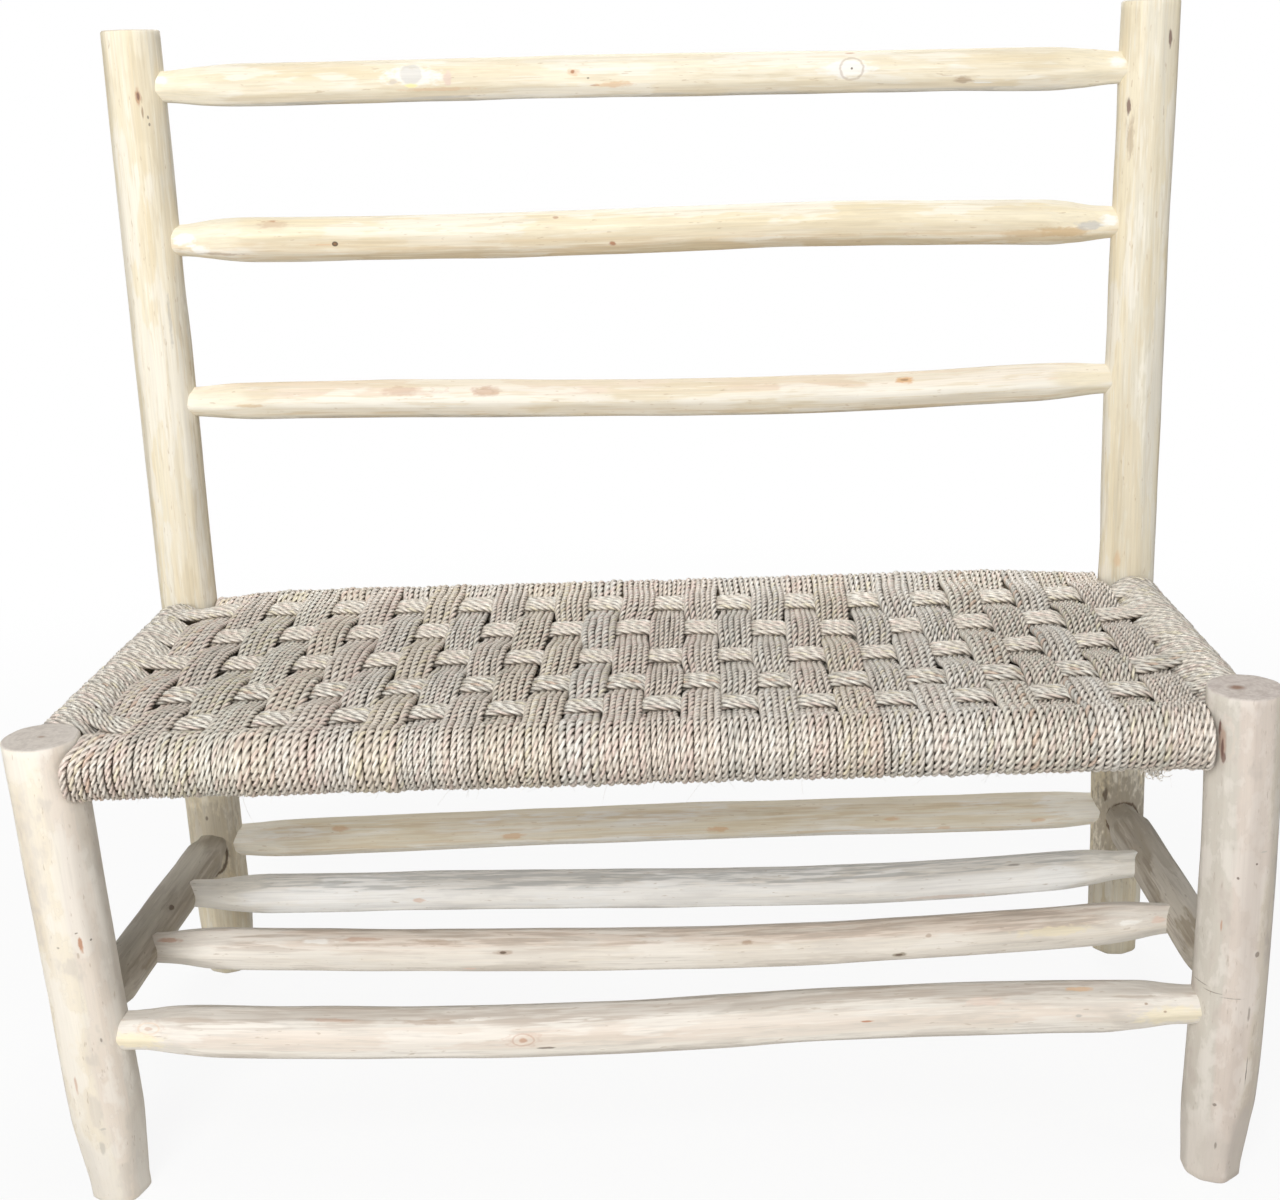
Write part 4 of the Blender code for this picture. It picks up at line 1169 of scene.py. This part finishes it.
MARKS = {
    # millimetres along the pole, degrees round it from the side that shows, half length and half width in
    # millimetres, tone, strength and, unless it is a full mark, kind; most are knots and stains, some painted
    # shade
    "back_left_post": (
        (983, 21, 11, 4, "red", 0.65), (984, 21, 5, 1.8, "bark", 0.8), (968, 26, 8, 1.4, "brown", 0.6),
        (963, 36, 2.4, 1.6, "dark", 0.6), (956, 37, 2, 1.4, "dark", 0.6), (760, 38, 36, 2.2, "grey", 0.5),
        # painted shade: the broad umber patch low on the post under the seat, and the dark ring round the side
        # stretcher's end
        (170, 0, 70, 50, "umber", 0.4), (200, 2, 4, 2.2, "dark", 0.65),
        (150, -4, 21.5, 20.5, "dark", 0.85, "ring"),
    ),
    "back_right_post": (
        (1011, 33, 10, 3.4, "bark", 0.85), (946, -50, 9, 3.6, "bark", 0.85),
        (940, -48, 18, 7.5, "brown", 0.45, "rim"), (914, -42, 26, 5, "brown", 0.35),
        # painted shade: the broad umber patch low on the post under the seat, and the dark ring round the side
        # stretcher's end
        (476, -32, 10, 5, "orange", 0.4), (170, 0, 75, 50, "umber", 0.8), (200, -41, 10, 4, "dark", 0.7),
        (171, 3, 21.2, 19, "dark", 0.85, "ring"),
    ),
    "top_back_rail": (
        (214, -9, 34, 11, "white", 0.85), (218, -9, 11.4, 11.2, "brown", 0.34, "ring"),
        (218, -9, 1.3, 1.3, "dark", 0.85, "disc"), (-226, -12, 40, 12.5, "white", 0.85),
        (-227, -18, 12.8, 12.2, "cool", 0.5, "disc"), (-190, -4, 5, 9, "pink", 0.75),
        (-245, 0, 7, 4, "brown", 0.28), (-228, 13, 9, 2.4, "yellow", 0.95),
        (-200, 24, 48, 2.6, "orange", 0.4), (-63, -14, 8, 5, "orange", 0.45),
        (-63, -14, 3, 2.6, "red", 0.95), (-48, 4, 1.8, 1.4, "dark", 0.6), (-42, 24, 6, 1.1, "red", 0.6),
        (-20, 23, 22, 4, "orange", 0.55), (330, 27, 12, 5, "brown", 0.48),
        (350, 35, 15, 1.4, "white", 0.9), (217, -59, 6, 2.2, "red", 0.7), (486, -21, 11, 10, "white", 0.8),
        (-483, -26, 11, 9, "white", 0.7),
    ),
    "middle_back_rail": (
        (-330, 10, 18, 1.4, "orange", 0.45), (-317, 8, 3.6, 3.1, "dark", 0.9, "disc"),
        (-317, 8, 1.7, 1.3, "brown", 0.9, "disc"), (-30, 25, 5, 3, "red", 0.9),
        (-88, -50, 3.6, 2.4, "red", 0.6), (-382, -50, 18, 7, "red", 0.28), (-382, -58, 6, 2, "red", 0.6),
        (279, 26, 8.5, 3, "red", 0.6, "rim"), (400, 26, 42, 6, "tan", 0.65), (437, 22, 33, 8, "tan", 0.95),
        (463, 5, 17, 7, "cool", 0.75), (484, -14, 13, 12, "white", 0.95),
        (-474, -10, 15, 13, "white", 0.95), (-458, 24, 11, 7, "white", 0.85),
        (-435, 34, 32, 2.2, "brown", 0.45),
    ),
    "lower_back_rail": (
        (273, -43, 13, 5, "orange", 0.85), (273, -43, 6, 2, "brown", 0.6), (-261, -34, 24, 8, "red", 0.3),
        (-219, -39, 11, 6.2, "red", 0.6, "rim"), (-171, -31, 19, 8, "red", 0.45),
        (-171, -31, 10, 4, "brown", 0.45, "rim"), (-420, 6, 20, 2.4, "tan", 0.7),
    ),
    "front_right_post": (
        (436, -50, 17, 4.6, "red", 0.45), (436, -44, 24, 9, "pink", 0.7, "rim"),
        (446, -55, 9, 2, "bark", 0.95), (431, -49, 10, 1.6, "bark", 0.95), (421, -46, 6, 2.8, "bark", 0.8),
        (264, -36, 7, 1.2, "red", 0.6), (325, 12, 1.4, 1.4, "dark", 0.8),
        (312, -16, 1.6, 1.5, "dark", 0.75), (336, 22, 1, 4, "grey", 0.7), (237, 23, 3, 2.6, "dark", 0.6),
        (179, 17, 8, 1.6, "dark", 0.5), (120, 22, 17, 0.7, "dark", 0.8), (86, -23, 2, 3, "dark", 0.6),
        (43, -15, 5, 1.8, "dark", 0.5), (202, -70, 0.6, 12, "dark", 0.55),
        (198, -44, 0.6, 12, "dark", 0.55), (195, -12, 0.6, 13, "dark", 0.45),
    ),
    "front_left_post": (
        (270, 29, 10, 2.6, "red", 0.85), (282, 26, 1.4, 2, "dark", 0.75), (272, 46, 1.2, 1.4, "dark", 0.7),
        (270, -4, 1.8, 2.2, "dark", 0.5), (174, 34, 2.6, 1.2, "dark", 0.55), (130, -20, 12, 2, "red", 0.5),
        (65, 5, 10, 3, "grey", 0.6), (85, 12, 2, 4, "grey", 0.6),
    ),
    "left_stretcher": (
        (-22, -44, 7, 3.6, "dark", 0.8),
    ),
    "front_shelf_rung": (
        (-478, -60, 16, 5, "red", 0.6), (-330, -50, 20, 3, "white", 0.8), (-289, -58, 24, 3, "red", 0.4),
        (-215, -50, 30, 3.4, "brown", 0.35), (-148, -21, 12, 3, "brown", 0.4),
        (-148, -21, 4, 1.8, "dark", 0.85), (-181, 30, 7, 2.6, "pink", 0.8),
        (90, -38, 8, 2.6, "brown", 0.5), (238, 18, 8.5, 4, "umber", 0.85), (238, 18, 4, 1.6, "dark", 0.75),
        (267, -33, 4, 2.4, "brown", 0.45), (389, -20, 45, 6, "butter", 0.55),
        (461, -26, 16, 4, "white", 0.85), (490, -26, 8, 6, "pink", 0.8),
    ),
    "back_shelf_rung": (
        (-253, 2, 8, 3.6, "pink", 0.85), (373, -56, 9, 2, "dark", 0.5), (300, 34, 60, 4, "blush", 0.7),
    ),
    "back_stretcher": (
        (-368, -46, 14, 4, "orange", 0.6), (-171, 2, 16, 4.4, "orange", 0.6),
        (63, 3, 15, 4, "orange", 0.65), (261, -12, 11, 3, "orange", 0.5), (320, 22, 11, 3, "orange", 0.5),
        (425, 7, 11, 3, "orange", 0.5),
    ),
    "front_stretcher": (
        (-470, 0, 40, 15, "butter", 0.7), (470, 0, 45, 15, "butter", 0.6),
        (-453, -36, 17, 10, "red", 0.45, "rim"), (-453, -36, 10, 6, "orange", 0.25, "ring"),
        (-453, -36, 4.5, 3, "red", 0.4), (-197, -55, 30, 3, "brown", 0.35),
        (-289, -60, 28, 2.6, "red", 0.35), (-114, -11, 19, 8.5, "red", 0.65, "rim"),
        (-114, -11, 9.5, 5.5, "red", 0.35, "ring"), (-114, -11, 4.5, 3.4, "red", 0.6),
        (-94, 11, 11, 1.3, "dark", 0.7), (194, -13, 8, 1.2, "red", 0.9), (384, -70, 15, 3, "orange", 0.6),
        (382, -10, 4, 2, "grey", 0.7), (443, -34, 2.4, 1.8, "brown", 0.65),
        (460, -13, 2, 1.6, "brown", 0.6), (300, -45, 20, 5, "pink", 0.45),
    ),
}


def make_poles():
    """Every pole with a finish of its own, so that no two share their streaks."""
    for number, pole in enumerate(POLES):
        line = PoleLine(pole.node, pole.axis)
        finish = wood_finish(pole, line.body, FINISH_SEED + number)
        hewn_pole(pole, line, finish, POLE_SEED + number)


# Stage

FLOOR_REACH = 14.0
FLOOR_CLEAR = (0.7, 2.2)  # distances from the middle over which the floor turns white to the camera
FLOOR_GLOW = 0.91  # share of plain white in the floor near the bench, to the camera
FLOOR_TINT = srgb(226, 225, 223)
WHITE = (1.0, 1.0, 1.0, 1.0)
AMBIENT = 0.05
LAMP_AIM = Vector((0.0, 0.0, 0.45))
LAMPS = (
    # name, place, width, power
    ("low_lamp", (-0.8, -2.70, 1.50), 1.3, 42.0),
    ("high_lamp", (-0.5, -2.30, 2.40), 1.3, 30.0),
    ("left_lamp", (-2.6, -1.60, 1.60), 1.3, 9.5),
    ("right_lamp", (2.6, -1.60, 1.60), 1.3, 14.5),
    ("top_lamp", (0.0, -0.20, 3.20), 2.0, 21.0),
    ("back_lamp", (0.1, 2.10, 2.50), 1.6, 32.0),
)


def make_camera():
    """Camera from its place, its yaw, pitch and roll, and the pixel that the line of sight meets."""
    cos_yaw, sin_yaw = math.cos(CAMERA_YAW), math.sin(CAMERA_YAW)
    cos_pitch, sin_pitch = math.cos(CAMERA_PITCH), math.sin(CAMERA_PITCH)
    sight = Vector((sin_yaw * cos_pitch, cos_yaw * cos_pitch, -sin_pitch))
    level = Vector((cos_yaw, -sin_yaw, 0.0))
    down = sight.cross(level)
    right = math.cos(CAMERA_ROLL) * level + math.sin(CAMERA_ROLL) * down
    below = math.cos(CAMERA_ROLL) * down - math.sin(CAMERA_ROLL) * level
    lens = bpy.data.cameras.new("camera")
    lens.sensor_fit = "HORIZONTAL"
    lens.sensor_width = SENSOR
    lens.lens = SENSOR * FOCAL_PIXELS / IMAGE_WIDTH
    lens.shift_x = (0.5 * IMAGE_WIDTH - SIGHT_PIXEL[0]) / IMAGE_WIDTH
    lens.shift_y = (SIGHT_PIXEL[1] - 0.5 * IMAGE_HEIGHT) / IMAGE_WIDTH
    camera = bpy.data.objects.new("camera", lens)
    turn = Matrix((right, -below, -sight)).transposed().to_4x4()
    camera.matrix_world = Matrix.Translation(CAMERA_PLACE) @ turn
    bpy.context.scene.collection.objects.link(camera)
    bpy.context.scene.camera = camera


def make_floor():
    """A pale floor that takes the bench's shadow, and fades to plain white for the camera further out."""
    mesh = bpy.data.meshes.new("floor")
    corners = [(FLOOR_REACH * x, FLOOR_REACH * y, 0) for x, y in ((-1, -1), (1, -1), (1, 1), (-1, 1))]
    mesh.from_pydata(corners, [], [(0, 1, 2, 3)])
    finish = Finish("floor_finish", *FLOOR_GLOSS)
    finish.set("Base Color", FLOOR_TINT)
    path = finish.node("ShaderNodeLightPath").outputs
    place = finish.node("ShaderNodeTexCoord").outputs["Object"]
    share = finish.ramp(finish.vector("LENGTH", place), *FLOOR_CLEAR, FLOOR_GLOW, 1.0)
    blend = finish.node("ShaderNodeMixShader")
    finish.feed(blend.inputs[0], finish.math("MULTIPLY", path["Is Camera Ray"], share))
    finish.feed(blend.inputs[1], finish.shader.outputs[0])
    finish.feed(blend.inputs[2], finish.node("ShaderNodeEmission").outputs[0])
    finish.feed(finish.tree.nodes["Material Output"].inputs["Surface"], blend.outputs[0])
    mesh.materials.append(finish.material)
    floor = bpy.data.objects.new("floor", mesh)
    bpy.context.scene.collection.objects.link(floor)


def make_world():
    """White to the camera and in reflections, and a plain soft light to everything else."""
    world = bpy.data.worlds.new("studio")
    world.use_nodes = True
    bpy.context.scene.world = world
    nodes = Nodes(world.node_tree)
    path = nodes.node("ShaderNodeLightPath").outputs
    seen = nodes.math("MAXIMUM", path["Is Camera Ray"], path["Is Glossy Ray"])
    backdrop = world.node_tree.nodes["Background"].inputs
    nodes.feed(backdrop["Strength"], nodes.ramp(seen, 0.0, 1.0, AMBIENT, 1.0))
    nodes.feed(backdrop["Color"], WHITE)


def make_lights():
    """Soft lamps in front, low and high, one on each side, one overhead and one behind."""
    for name, place, size, power in LAMPS:
        lamp = bpy.data.lights.new(name, "AREA")
        lamp.shape = "DISK"
        lamp.size = size
        lamp.energy = power
        holder = bpy.data.objects.new(name, lamp)
        holder.location = place
        holder.rotation_euler = (LAMP_AIM - Vector(place)).to_track_quat("-Z", "Y").to_euler()
        bpy.context.scene.collection.objects.link(holder)


def main():
    make_camera()
    make_floor()
    make_world()
    make_lights()
    make_poles()
    warp_finish = rope_finish("warp_rope_finish", WARP_STAIN)
    weft_finish = rope_finish("weft_rope_finish", WEFT_STAIN)
    make_seat(warp_finish, weft_finish)
    bpy.context.scene.view_settings.view_transform = "Standard"


main()
